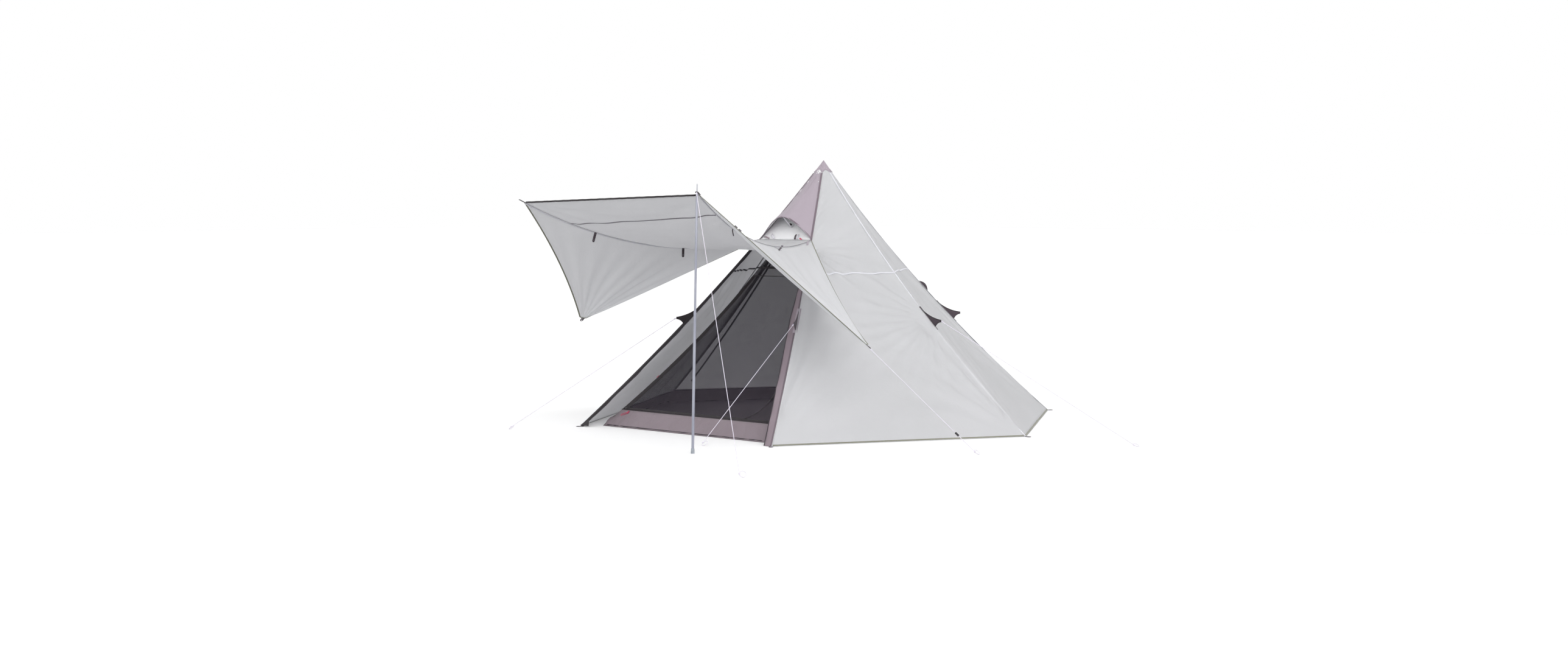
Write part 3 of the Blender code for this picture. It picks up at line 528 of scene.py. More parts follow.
def woven(name, slot, face, deep, pitch=0.006, thread=0.10, crease=0.35, crease_scale=16.0, sheen=0.15,
          glow=0.0, holes=None, stitches=0.0):
    """A woven finish that follows the cloth, with creases, clouding and a ripstop grid."""
    face, deep = colour(*face), colour(*deep)
    finish = Finish(bpy.data.materials.new(name))
    SLOT_OF[finish.owner] = slot
    place = finish.place()
    cloth = finish.node("Attribute", {"attribute_name": "cloth"}, output="Vector")
    across, along = (finish.node("SeparateXYZ", None, {0: cloth}, axis) for axis in "XY")

    def threads(every, share):
        gaps = [finish.step(finish.zigzag(way / every), share / 2, share) for way in (across, along)]
        return (1 - gaps[0]).larger(1 - gaps[1])

    grid = threads(pitch, THREAD_SHARE)
    clouds = finish.noise(place, *CLOUDS)
    grime = finish.step(finish.noise(place, *GRIME), 0.35, 0.75)
    shade = finish.mixed(clouds * 0.6 + grime * 0.4, deep, face)
    shade = finish.mixed(grid * thread, shade, deep)
    creases = finish.noise(place, crease_scale, *CREASE_DETAIL)
    fine = finish.noise(place, crease_scale * FINE_SCALE)
    height = creases * 0.8 + fine * 0.12 + grid * 0.05
    if stitches:
        row = 1 - finish.step(abs(abs(across) - stitches), 0.0004, 0.0009)
        sewn = row * finish.step(finish.zigzag(along / STITCH_LENGTH), 0.08, 0.16)
        shade = finish.mixed(sewn * 0.7, shade, (*(x * STITCH_SHADE for x in deep[:3]), 1.0))
        height = height - sewn * 0.3
    sockets = {
        "Base Color": shade,
        "Roughness": ROUGH + creases * ROUGH_VARIES,
        "Sheen Weight": sheen,
        "Sheen Roughness": 0.5,
        "Specular IOR Level": 0.3,
        "Normal": finish.bump(crease, CREASE_HEIGHT, height),
    }
    if holes:
        closed = threads(NET_PITCH, NET_SHARE) * 0.6 + creases * 0.4
        sockets["Alpha"] = holes[0] + (holes[1] - holes[0]) * closed
    return finish.surface(sockets, glow)


fly_cloth = woven("fly_cloth", "fly_cloth", (243, 243, 245), (233, 234, 235), crease=0.85,
                  crease_scale=9, glow=0.50)
# Whiter than the fly cloth: painted light on the vent panel and on the sheet under the hood, both in the
# hood's shade
vent_cloth = woven("vent_cloth", "fly_cloth", (252, 252, 253), (246, 246, 248), glow=0.20)
fly_tape = woven("fly_tape", "fly_cloth", (224, 224, 229), (206, 206, 213), stitches=0.0052, crease=0.2)
trim_cloth = woven("trim_cloth", "trim_cloth", (184, 173, 183), (166, 155, 165), glow=0.10)
strip_cloth = woven("strip_cloth", "trim_cloth", (160, 146, 154), (134, 120, 128), glow=0.05)
trim_dark = woven("trim_dark", "trim_cloth", (132, 119, 128), (112, 100, 109), crease=0.2,
                  stitches=0.0032)
tray_cloth = woven("tray_cloth", "tray_cloth", (172, 158, 166), (144, 130, 138), crease=1.6,
                   crease_scale=10)
net_cloth = woven("net_cloth", "mesh", (66, 60, 72), (50, 45, 55), sheen=0.05, holes=(0.17, 0.31))
# Darker, denser net for the front left wall: its extra density stands for net seen edge-on, and its
# darker colour is painted shade
net_double = woven("net_double", "mesh", (60, 54, 66), (44, 39, 49), sheen=0.05, holes=(0.42, 0.60))
black_tape = woven("black_tape", "dark_webbing", (52, 46, 50), (34, 30, 33), pitch=0.003, crease=0.25)
seam_tape = woven("seam_tape", "dark_webbing", (128, 124, 132), (104, 100, 108), crease=0.2)
edge_tape = woven("edge_tape", "dark_webbing", (150, 150, 136), (122, 122, 108), crease=0.2,
                  stitches=0.003)
webbing = woven("webbing", "dark_webbing", (84, 72, 80), (58, 50, 56), pitch=0.0022, thread=0.45,
                crease=0.3)
pale_webbing = woven("pale_webbing", "dark_webbing", (226, 224, 230), (196, 194, 202), pitch=0.0022,
                     thread=0.3)
print("woven finishes:", len(SLOT_OF))

# %% [markdown]
# ## Cord, metal and plastic finishes
# Guy cord is braided: its sheath shows slanted strands that cross. The poles are drawn aluminium tube,
# which has fine marks along its length and a soft, not mirror-like, gloss. The feet and the tensioner
# are moulded plastic with a faint grain. Each is one material with its detail worked out from the
# object's own coordinates, since these solids carry no cloth coordinates.

# %% Hard and braided finishes
GRAIN_HEIGHT = 0.0006
BRAID_SCALE, BRAID_BUMP, BRAID_HEIGHT = 330.0, 0.5, 0.0005


def moulded(name, slot, face, worn, rough, metallic=0.0, stretch=(1.0, 1.0, 1.0), scale=60.0, bump=0.15):
    """A plain hard finish with fine marks, drawn out by stretch."""
    finish = Finish(bpy.data.materials.new(name))
    SLOT_OF[finish.owner] = slot
    place = finish.place()
    drawn = place * stretch
    marks = finish.noise(drawn, scale, 4.0)
    stains = finish.noise(place, 3.0, 4.0)
    wear = finish.step(marks * 0.5 + stains * 0.5, 0.3, 0.7)
    return finish.surface({
        "Base Color": finish.mixed(wear, colour(*worn), colour(*face)),
        "Roughness": rough - 0.08 + marks * 0.16,
        "Metallic": metallic,
        "Normal": finish.bump(bump, GRAIN_HEIGHT, marks + finish.noise(drawn, scale * 5, 2.0) * 0.4),
    })


def braided(name, slot, face, deep):
    """A braided sheath: two sets of slanted strands that cross."""
    finish = Finish(bpy.data.materials.new(name))
    SLOT_OF[finish.owner] = slot
    place = finish.place()
    bands = {"wave_type": "BANDS", "bands_direction": "DIAGONAL"}
    there, back = (
        finish.node("TexWave", bands, {"Vector": way, "Scale": BRAID_SCALE, "Distortion": 1.0})
        for way in (place, place * (-1.0, 1.0, 1.0))
    )
    strands = finish.step(there * back, 0.0, 0.5)
    return finish.surface({
        "Base Color": finish.mixed(strands, colour(*deep), colour(*face)),
        "Roughness": 0.85 - strands * 0.15,
        "Normal": finish.bump(BRAID_BUMP, BRAID_HEIGHT, strands),
    })


guy_cord = braided("guy_cord", "cord", (252, 250, 255), (222, 214, 232))
pole_metal = moulded("pole_metal", "pole", (172, 174, 186), (142, 144, 158), 0.42, 0.70, (1, 1, 0.04))
grey_plastic = moulded("grey_plastic", "plastic", (168, 174, 182), (140, 146, 154), 0.5)
spike_metal = moulded("spike_metal", "pole", (196, 198, 206), (150, 152, 160), 0.30, 1.0, (1, 1, 0.1))
black_plastic = moulded("black_plastic", "plastic", (44, 42, 46), (30, 28, 32), 0.5)
zip_red = moulded("zip_red", "zip_red", (196, 84, 108), (158, 54, 80), 0.45)
zip_teeth = moulded("zip_teeth", "plastic", (70, 64, 70), (46, 42, 46), 0.5, scale=220.0, bump=0.6)
print("all finishes:", len(SLOT_OF))

# %% [markdown]
# ## Guy lines
# A guy line is a fixed length of thin braided cord that a peg holds taut, so it runs straight from
# its loop or tab to the ground, where it ends in a tied loop for the peg. A curve with a round bevel
# is a cord of exact length. A knot is the same cord wound three times round the line, which a short
# swept helix shows better than a ball would.

# %% Places that the lines start from
EYES = {
    "front_left": Vector((-0.907, -2.373, 1.738)),
    "front_right": Vector((0.907, -2.373, 1.793)),
    "side_left": Vector((-1.490, -1.232, 0.778)),
    "side_right": Vector((1.490, -1.232, 0.703)),
}
LOOP_STARTS = {"front_left": 0.0004, "front_right": -0.0004, "side_left": 0.0006, "side_right": 0.0006}
LOOP_THICKNESS, LOOP_WIDTH, EYE_RADIUS = 0.0030, 0.026, 0.0062
VENT_HEIGHT, SEAM_SAG, CORNER_CUT = 1.430, 0.177, 0.034
TAB_TOP, TAB_LOW, TAB_TIP, TAB_REACH = 0.905, 0.775, 0.822, 0.190
LINE_RADIUS, LINE_GAP = 0.0020, 0.0003
END_LOOP, END_TURN = 0.022, math.radians(322)


def seam_ends(side):
    return EYES[f"front_{side}"], fly_ridge(DOOR[side], VENT_HEIGHT)


def seam(side, t):
    """The seam between roof and wing, hanging from its front eye to the ridge."""
    start, end = seam_ends(side)
    return start.lerp(end, t) - UP * (SEAM_SAG * parabola(t))


def seam_span(side, gap=0.0):
    """Where the cloth starts and stops along a seam, in shares of its length."""
    start, end = seam_ends(side)
    return CORNER_CUT / (end - start).length, 1 - gap / (end - start).length


def corner_frame(name):
    """The frame of a corner loop: X points out from the cloth through the eye."""
    eye = EYES[name]
    kind, side = name.split("_")
    start, end = seam_ends(side)
    if kind == "front":
        cut = seam(side, seam_span(side)[0])
        out = (eye - cut).normalized()
        across = UP.cross(out)
    else:
        out = (eye - seam(side, 0.5)).normalized()
        cut = eye - out * CORNER_CUT
        across = (end - start) - out * out.dot(end - start)
    return frame_at(cut + out * LOOP_STARTS[name], out, across)


def stand_off(place, normal, end):
    """Where a line's flat end starts so that its rim just clears a face."""
    away = (Vector((*end, 0.0)) - place).normalized()
    return place + normal * (LINE_RADIUS * away.cross(normal).length + LINE_GAP * 1.5)


def loop_start(name, end):
    matrix = corner_frame(name)
    out, normal = matrix.col[0].to_3d(), matrix.col[2].to_3d()
    normal = normal if normal.z < 0 else -normal
    place = EYES[name] + out * ((EYE_RADIUS + LOOP_WIDTH / 2) / 2)
    return stand_off(place + normal * (LOOP_THICKNESS / 2), normal, end)


def tab_start(corner, end):
    away = outward(CORNERS[corner])
    tip = away * (fly_ridge(CORNERS[corner], TAB_TOP).dot(away) + TAB_REACH) + UP * TAB_TIP
    return stand_off(tip, away, end)


LINES = {
    "line_pole": (loop_start, "front_right", (1.920, -3.040)),
    "line_corner": (loop_start, "side_right", (2.330, -1.110)),
    "line_front_right": (tab_start, "front_right", (0.560, -1.965)),
    "line_right": (tab_start, "right", (2.900, 0.000)),
    "line_front_left": (tab_start, "front_left", (-1.260, -2.180)),
}
print("guy lines:", list(LINES))

# %% Lines, their ground loops and their knots
STRAIGHT_STEPS, LOOP_STEPS = 12, 14
KNOT_TURNS, KNOT_STEPS = 3, 12
KNOT_CORD, KNOT_COIL = LINE_RADIUS * 1.9, LINE_RADIUS * 1.85
TOP_KNOT_AT, END_KNOT_AT = 0.012, 0.004


def line_route(start, end):
    """A taut run to the ground, then the tied loop that lies there."""
    flat = Vector((end[0] - start.x, end[1] - start.y, 0.0))
    slope = math.atan2(start.z, flat.length)
    ground = Vector((*end, END_LOOP * math.sin(slope) + LINE_RADIUS + LINE_GAP))
    away = (ground - start).normalized()
    across = UP.cross(away).normalized()
    points = [start.lerp(ground, n) for n in shares(STRAIGHT_STEPS)]
    centre = ground + across * END_LOOP
    for turn in (END_TURN * n for n in shares(LOOP_STEPS)[1:]):
        points.append(centre + (away * math.sin(turn) - across * math.cos(turn)) * END_LOOP)
    return points


def knot(name, place, along):
    """Three turns of the cord round the line."""
    side = along.orthogonal().normalized()
    up = along.cross(side)
    turns = [i / KNOT_STEPS for i in range(KNOT_TURNS * KNOT_STEPS + 1)]
    spokes = [side * math.cos(math.tau * n) + up * math.sin(math.tau * n) for n in turns]
    rises = [along * (KNOT_CORD * (n - KNOT_TURNS / 2)) for n in turns]
    points = [place + spoke * KNOT_COIL + rise for spoke, rise in zip(spokes, rises)]
    return sweep(name, points, KNOT_CORD, KNOT_CORD, spokes, guy_cord, square=1.0, sides=8)


for name, (start_of, corner, end) in LINES.items():
    route = line_route(start_of(corner, end), end)
    curve = bpy.data.curves.new(name, "CURVE")
    curve.dimensions, curve.use_fill_caps = "3D", True
    curve.bevel_depth, curve.bevel_resolution = LINE_RADIUS, 3
    add_spline(curve, route).use_smooth = True
    curve.materials.append(guy_cord)
    line = placed(name + "_cord", curve)
    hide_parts(name)
    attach(line, "tent")
    away = (route[STRAIGHT_STEPS] - route[0]).normalized()
    extras = [
        knot(name + "_top_knot", route[0] + away * TOP_KNOT_AT, away),
        knot(name + "_end_knot", route[STRAIGHT_STEPS] - away * END_KNOT_AT, away),
    ]
    if name == "line_corner":
        extras.append(nodes["line_tensioner"])
    length = length_of(route)
    tuple(route[0])
    print(name, "length", round(length, 3), "m")

# %% [markdown]
# ## Folds in stretched cloth
# Stretched cloth is never flat. Where a peg or a seam pulls at a corner, creases fan out from it and
# die away, and between them the panel has a slow swell. Simulating a whole tent takes minutes and
# still has to be steered, so each fold is a sine across the fan, faded in and out with distance, and
# Perlin noise gives the swell. The edges stay on their seams, because every fold fades to nothing there.

# %% Folds
PULL_SPREAD, PULL_EVERY, PULL_REACH, PULL_DEPTH = 0.20, 0.125, 0.80, 0.0170
FAN_CREASES, CORNER_REACH = 15, 0.55


def soft_noise(x, y, z):
    return noise.noise(Vector((x, y, z)))


def fan(u, v, corner, count, phase, reach):
    """Creases that fan out from a corner of the cut cloth and fade with distance."""
    du, dv = u - corner[0], v - corner[1]
    far = math.hypot(du, dv) / reach
    wander = soft_noise(u * 2.1, v * 2.1, phase) * 1.6
    return math.sin(count * math.atan2(dv, du) + phase + wander) * far * math.exp(1 - far)


def held_edges(s, t, soft=0.10):
    """1 inside a sheet and 0 on its seams."""
    return min(1.0, s / soft, (1 - s) / soft) * min(1.0, t / soft, (1 - t) / soft)


def ridge_pull(side, u, v, half_base, slant, phase):
    """Long creases that leave a ground corner close to its ridge, where the guy tab pulls."""
    inward = half_base - side * u
    off = math.atan2(slant, half_base) - math.atan2(v, inward)
    far = math.hypot(inward, v) / PULL_REACH
    wander = soft_noise(u * 1.7, v * 1.7, phase + side) * 1.5
    wave = math.sin(math.tau * off / PULL_EVERY + phase + wander)
    on_seam = min(1.0, max(0.0, off) / 0.03)
    return wave * on_seam * math.exp(-off / PULL_SPREAD) * far * math.exp(1 - far) * (1 - v / slant)


def panel_folds(half_base, slant, phase, pulls, strength=0.0062, swell=0.0085):
    """The folds of one wall: a fan from each ground corner and from each given pull."""
    corners = [((-half_base, 0.0), CORNER_REACH), ((half_base, 0.0), CORNER_REACH), *pulls]

    def folds(s, t, u, v):
        lift = 0.0
        for n, (corner, reach) in enumerate(corners):
            lift += fan(u, v, corner, FAN_CREASES + 3 * n, phase + 1.7 * n, reach)
        slow = soft_noise(u * 1.3 + phase, v * 1.3, phase) + soft_noise(u * 6, v * 9, phase + 5) * 0.25
        pull = sum(ridge_pull(side, u, v, half_base, slant, phase) for side in (1, -1))
        return held_edges(s, t) * (lift * strength + slow * swell) + pull * PULL_DEPTH

    return folds


print("a fan at 0.5 m:", round(fan(0.4, 0.3, (0, 0), 15, 0.0, 0.5), 3))

# %% [markdown]
# ## The fly
# The fly is the pale outer skin. Each wall is one piece of cloth, seamed to its neighbours along the
# ridges and joined across at the height where one width of the fabric roll ends. On the real tent the
# door side is a sixth piece, which is the awning here, and a small panel stays above it for the vent.

# %% Fly walls
WALLS = {"front_right": -60, "rear_right": 0, "rear": 60, "rear_left": 120, "front_left": 180}
HEM = 0.0013
FLY_TOP = FLY_HEIGHT * (1 - 0.032)
PANEL_BELLY = 0.018
FLY_RUN = FLY_RADIUS * math.cos(math.pi / 6)
SLANT = math.hypot(FLY_HEIGHT, FLY_RUN)
PULLS = {
    "front_right": [((-0.30, 1.86), 0.45), ((-0.30, 1.86), 0.16), ((0.55, 1.15), 0.30)],
    "front_left": [((0.30, 1.83), 0.40)],
}
PUCKER_LOW, PUCKER_HIGH, PUCKER_EVERY, PUCKER_SLANT = 1.90, 2.50, 0.078, 1.25
PUCKER_DEPTH, PUCKER_REACH = 0.0052, 0.085


def puckered(folds):
    """Adds the short slanted creases where the wing's pull gathers the front right ridge."""

    def both(s, t, u, v):
        inside = s * FLY_RADIUS * (1 - v / SLANT)
        band = parabola(min(1.0, max(0.0, (v - PUCKER_LOW) / (PUCKER_HIGH - PUCKER_LOW))))
        across = math.tau * (v - PUCKER_SLANT * inside) / PUCKER_EVERY
        wave = math.sin(across + 2 * soft_noise(u * 9, v * 5, 6.0)) * min(1.0, inside / 0.02)
        return folds(s, t, u, v) + wave * band * PUCKER_DEPTH * math.exp(-inside / PUCKER_REACH)

    return both


fly_walls = {name: panel(fly_ridge, first, HEM, FLY_TOP, PANEL_BELLY) for name, first in WALLS.items()}
for turn, (name, surface) in enumerate(fly_walls.items()):
    folds = panel_folds(FLY_RADIUS / 2, SLANT, turn * 2.3, PULLS.get(name, [((0.0, SLANT), 0.60)]))
    columns, rows = 84, 72
    if name == "front_right":
        folds, columns, rows = puckered(folds), 96, 150
    sheet(f"fly_{name}_cloth", surface, columns, rows, fly_cloth, folds)
    print(name, [round(x, 2) for x in cutting_list[f"fly_{name}_cloth"]["flat"]])

# %% Ridge tapes, hems and the seam across
RIDGE_TAPE, TAPE_LIFT, TAPE_FOOT = 0.011, 0.00168, 0.004
SEAM_SHARE = 1.180 / FLY_TOP
SEAMS = {"seam": (0.0022, fly_tape), "inner_seam": (-0.0022, seam_tape)}
SEAM_TAPE, HEM_TAPE, HEM_LIFT, HEM_SHARE = (0.014, 0.0014), (0.011, 0.0022), 0.0012, 0.0035


def ridge_tape(azimuth):
    """A felled seam folded over a ridge."""

    def surface(s, t):
        height = TAPE_FOOT + (FLY_TOP - TAPE_FOOT) * t
        place = fly_ridge(azimuth, height)
        other = fly_ridge(azimuth + (60 if s > 0.5 else -60), height)
        share = abs(s - 0.5) * 2 * RIDGE_TAPE / max((other - place).length, RIDGE_TAPE)
        return place.lerp(other, share) + (outward(azimuth) + UP * 0.7) * TAPE_LIFT

    return surface


for corner, azimuth in PLAIN_RIDGES.items():
    sheet(f"ridge_tape_{corner}", ridge_tape(azimuth), 4, 60, fly_tape, thickness=0.0009)
for name, surface in fly_walls.items():
    cloth = f"fly_{name}_cloth"
    side = surface(0.5, SEAM_SHARE + 0.01) - surface(0.5, SEAM_SHARE)
    for kind, (lift, finish) in SEAMS.items():
        sweep(f"fly_{name}_{kind}", row_of(cloth, SEAM_SHARE, lift), *SEAM_TAPE, side, finish, on=cloth)
    normal = (outward(WALLS[name] + 30) * FLY_HEIGHT + UP * FLY_RUN).normalized()
    hem = [surface(n, HEM_SHARE) for n in shares(40, 0.004)]
    sweep(f"fly_{name}_hem", hem, *HEM_TAPE, side, edge_tape, lift=normal * HEM_LIFT, on=cloth)
print("seams and hems on", len(WALLS), "walls")

# %% [markdown]
# ## Apex cap, vent panel and hood
# The cap keeps rain out of the gathered seams at the top. The vent hood is a bulged flap over a pale
# panel, its whiteness painted light; a stiff prop holds its arched edge open. The hood was made as a
# full surface with the bulge growing towards its edge.

# %% Cap and vent panel
CAP_DROP, CAP_SCALLOP, CAP_LIFT = 0.098, 0.024, 0.0050
CAP_GATHER, CAP_BINDING = 0.0012, (0.009, 0.0024)


def cap_surface(ridge, low, high, lift, scallop=0.0):
    """A cap over an apex, its lower edge scalloped once on each side."""

    def surface(s, t):
        edge = low + scallop * abs(math.sin(math.pi * s * 6))
        return all_round(ridge, s, edge + (high - edge) * t) + UP * lift

    return surface


def cap_folds(s, t, u, v):
    """Three small gathers on each side of the cap."""
    return CAP_GATHER * math.sin(s * 6 * math.tau * 3) * parabola(t)


cap = cap_surface(fly_ridge, FLY_HEIGHT - CAP_DROP, FLY_HEIGHT - 0.0004, CAP_LIFT, CAP_SCALLOP)
sheet("apex_cap_cloth", cap, 96, 12, trim_cloth, cap_folds, weld=True, flat=(0.260, 0.225))
rim = [cap(s, 0.03) + outward(s * 360 - 120) * 0.0012 for s in shares(96)]
sweep("apex_cap_binding", rim, *CAP_BINDING, UP, trim_cloth, on="apex_cap_cloth")
vent = panel(fly_ridge, DOOR_LEFT, VENT_HEIGHT, FLY_TOP)
vent_folds = panel_folds(0.30, 0.8, 4.0, [], strength=0.0010, swell=0.0016)
# The vent panel's whiter cloth is painted light where the hood shades it
sheet("vent_panel_cloth", vent, 32, 32, vent_cloth, vent_folds, replaced="fly_vent_panel")
print("cap and vent panel")

# %% Hood, its edge and its prop
HOOD_BULGE, HOOD_ARCH, HOOD_GAP, HOOD_INSET = 0.135, 0.078, 0.0060, 0.0035
HOOD_LIFT, HOOD_CURVE, HOOD_PULL = 0.0026, 1.6, 0.0030
HOOD_BINDING, HOOD_SEAM, HOOD_SIDE = (0.012, 0.0028), (0.008, 0.0012), (0.015, 0.0036)
PAD_WIDTHS, PAD_THICKNESS = {-0.002: 0.018, 0.0: 0.027, 0.004: 0.029, 0.008: 0.027, 0.010: 0.018}, 0.017


def door_point(height):
    return (fly_ridge(DOOR_LEFT, height) + fly_ridge(DOOR_RIGHT, height)) / 2


door_rise = door_point(VENT_HEIGHT) - door_point(0)
DOOR_NORMAL = Vector((0, -door_rise.z, door_rise.y)).normalized()


def hood(s, t):
    """Flat against the vent panel at the top, bulged out at its arched lower edge."""
    top = FLY_HEIGHT - CAP_DROP + CAP_SCALLOP * math.sin(math.pi * s) - HOOD_GAP
    low = VENT_HEIGHT + HOOD_GAP + HOOD_ARCH * parabola(s)
    height = top + (low - top) * t
    left, right = (fly_ridge(azimuth, height) for azimuth in DOOR.values())
    place = between(left, right, s, HOOD_INSET, HOOD_INSET)
    return place + DOOR_NORMAL * (HOOD_LIFT + HOOD_BULGE * parabola(s) * t**HOOD_CURVE)


def hood_folds(s, t, u, v):
    """Long pulls from the apex down to the bulged edge."""
    pull = math.sin(s * 21 + 1.2 * math.sin(t * 5)) * t + soft_noise(s * 5, t * 6, 3.0)
    return held_edges(s, min(t, 0.9), 0.15) * pull * HOOD_PULL


def hood_painted_light_sheet(s, t):
    """A pale sheet just under the hood's bulged part: painted light on the hood's shaded underside."""
    return hood(0.10 + 0.80 * s, 0.50 + 0.485 * t) - DOOR_NORMAL * 0.005


sheet("vent_hood_cloth", hood, 48, 48, trim_cloth, hood_folds)
# A pale sheet under the hood, painted light where its underside lies in shade
sheet("vent_hood_lining", hood_painted_light_sheet, 24, 16, vent_cloth)
edge, middle = [hood(n, 0.992) for n in shares(48)], [hood(0.5, n) for n in shares(30)]
sweep("vent_hood_binding", edge, *HOOD_BINDING, door_rise, trim_dark, lift=DOOR_NORMAL * -0.001,
      on="vent_hood_cloth")
sweep("vent_hood_seam", middle, *HOOD_SEAM, RIGHT, trim_cloth, lift=DOOR_NORMAL * 0.0014,
      on="vent_hood_cloth")
tail, tail_top = VENT_HEIGHT - 0.010, FLY_HEIGHT - CAP_DROP
for side, azimuth in DOOR.items():
    line, away = [fly_ridge(azimuth, tail + (tail_top - tail) * n) for n in shares(30)], outward(azimuth)
    sweep(f"vent_hood_side_{side}", line, *HOOD_SIDE, UP.cross(away), trim_dark,
          lift=away * 0.0030 + DOOR_NORMAL * 0.002, on="vent_hood_cloth")
prop_low, prop_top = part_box("hood_prop")
pad_at = Vector((-0.0056, prop_top.y - 0.012, prop_low.z + 0.020))
pad = [pad_at + DOOR_NORMAL * x for x in PAD_WIDTHS]
sweep("hood_prop_pad", pad, list(PAD_WIDTHS.values()), PAD_THICKNESS, RIGHT, black_tape, square=0.6,
      slot="plastic", body="hood_prop")
print("hood with", len(cutting_list["vent_hood_cloth"]["trims"]), "trims")

# %% [markdown]
# ## Zip strips beside the door
# When the awning is lowered it zips to these strips. The left one is a narrow tape, made black as
# painted shade, since it lies in shadow. The right one is a wide taupe flap with the zip's coil on its
# free edge. The coil is a row of small loops, and a swept cord with a fine bump reads as one from a few
# steps away.

# %% Door strips
STRIP_TOP = VENT_HEIGHT - 0.014
TWIST_LOW, TWIST_HIGH, TWIST_NARROWS = 0.86, 1.06, 0.38
RIPPLE, SMALL_RIPPLE, STRIP_SWELL = 0.0030, 0.0010, 0.002
ZIP_COIL, COIL_AT, FOLD_AT = (0.006, 0.0034), 0.96, 0.10
STRIPS = {
    # The left strip and its thick edge are black: painted shade of a strip that lies in shadow
    "left": (0.026, -1, black_tape, (0.026, 0.0120), black_tape),
    "right": (0.072, 1, strip_cloth, (0.010, 0.0024), trim_dark),
}


def strip_surface(azimuth, width, side):
    """A strip inward from a door ridge, narrower where it twists out of the way."""

    def surface(s, t):
        height = HEM + (STRIP_TOP - HEM) * t
        turned = min(1.0, max(0.0, (height - TWIST_LOW) / (TWIST_HIGH - TWIST_LOW)))
        inset = SEAM_INSET + width * s * (1 - TWIST_NARROWS * turned)
        return fly_ridge(azimuth, height) - RIGHT * (side * inset)

    return surface


def strip_folds(s, t, u, v):
    """Ripples along the free edge, a long one and a short one."""
    ripple = math.sin(v * 17 + 2 * math.sin(v * 3)) * RIPPLE + math.sin(v * 41) * SMALL_RIPPLE
    return s * ripple + STRIP_SWELL * soft_noise(s * 2, v * 4, 9.0)


for side, (width, sign, finish, edge_size, edge_finish) in STRIPS.items():
    name, surface = f"door_strip_{side}", strip_surface(DOOR[side], width, sign)
    sheet(name + "_cloth", surface, 8, 90, finish, strip_folds)
    coil, fold = ([surface(share, n) for n in shares(90)] for share in (COIL_AT, FOLD_AT))
    sweep(name + "_zip", coil, *ZIP_COIL, RIGHT, zip_teeth, lift=DOOR_NORMAL * 0.003, square=0.8,
          on=name + "_cloth")
    sweep(name + "_edge", fold, *edge_size, RIGHT, edge_finish, lift=DOOR_NORMAL * 0.0018,
          on=name + "_cloth")
print("strips:", list(STRIPS))

# %% [markdown]
# ## The awning
# The door panel is cut as a roof with a wing on each side, joined by two seams that hang like ropes
# from the front corners to the ridges. The wings fall away to the side corners, which are pulled out
# and down. Each is ruled from the seam to its corner, so the cloth bends one way at a time, as taut
# cloth does. Fine creases run from the seam towards the pulled corner.

# %% Roof and wings
ROOF_BELLY = 0.020
AWNING_INSET = 0.00090
ROOF_GAP, WING_GAP = 0.0015, 0.0060
FREE_HOLLOW = {"left": 0.050, "right": 0.008}
BACK_SAG = {"left": 0.004, "right": 0.060}
FRONT_CREASE, ROOF_CREASE, ROOF_SWELL = 0.0026, 0.0040, 0.007
WING_FOLD, WING_RAY, WING_WAVE, WING_SWELL = 0.012, 0.0052, 0.0070, 0.007


def roof(s, t):
    first, last = seam_span("left", ROOF_GAP)
    along = first + (last - first) * t
    place = between(seam("left", along), seam("right", along), s, AWNING_INSET, AWNING_INSET)
    return place - UP * (ROOF_BELLY * parabola(s) * parabola(t))


def roof_folds(s, t, u, v):
    """Creases between the front corners, and from the rear ones towards the middle."""
    front = math.sin(v * 46 + 2.0 * soft_noise(u, v * 2, 1.0)) * math.exp(-v / 0.45) * FRONT_CREASE
    pulls = fan(u, v, (-0.9, 0.0), 16, 0.4, 0.5) + fan(u, v, (0.9, 0.0), 14, 2.0, 0.5)
    pulls += fan(u, v, (-0.3, 1.75), 15, 1.0, 0.45) + fan(u, v, (0.3, 1.75), 17, 2.6, 0.45)
    slow = soft_noise(u * 1.8, v * 1.8, 7.0)
    return held_edges(s, t, 0.06) * (front + pulls * ROOF_CREASE + slow * ROOF_SWELL)


def wing(side):
    """A wing ruled from its seam to its pulled corner, with three broad folds."""
    eye = EYES[f"side_{side}"]
    reach = (eye - seam(side, 0.5)).length
    near, far = AWNING_INSET / reach, 1 - CORNER_CUT / reach
    start, end = seam_ends(side)
    inward = (end - start).normalized()
    normal = (end - start).cross(eye - start).normalized()
    first, last = seam_span(side, WING_GAP)

    def surface(s, t):
        place = seam(side, first + (last - first) * s).lerp(eye, near + (far - near) * t)
        hollow = FREE_HOLLOW[side] * parabola(t) * (1 - s) ** 3
        drop = BACK_SAG[side] * parabola(t) * s**3
        fold = WING_FOLD * math.sin(math.tau * 3 * s) * parabola(t)
        return place + inward * hollow - UP * drop + normal * fold

    return surface


def wing_folds(phase):
    """Fine creases that run from the seam to the pulled corner."""

    def folds(s, t, u, v):
        rays = math.sin(s * 58 + phase + 2.2 * soft_noise(s * 3, t * 2, phase)) * WING_RAY
        rays += math.sin(s * 23 + phase * 2) * WING_WAVE * t
        slow = soft_noise(u * 1.7, v * 1.7, phase) * WING_SWELL
        return held_edges(s, t, 0.07) * (rays * parabola(min(1.0, t * 0.8 + 0.1)) + slow)

    return folds


sheet("awning_roof_cloth", roof, 56, 72, fly_cloth, roof_folds)
for side, phase in {"left": 0.7, "right": 3.1}.items():
    sheet(f"awning_wing_{side}_cloth", wing(side), 84, 48, fly_cloth, wing_folds(phase))
print("roof", [round(x, 3) for x in cutting_list["awning_roof_cloth"]["flat"]])

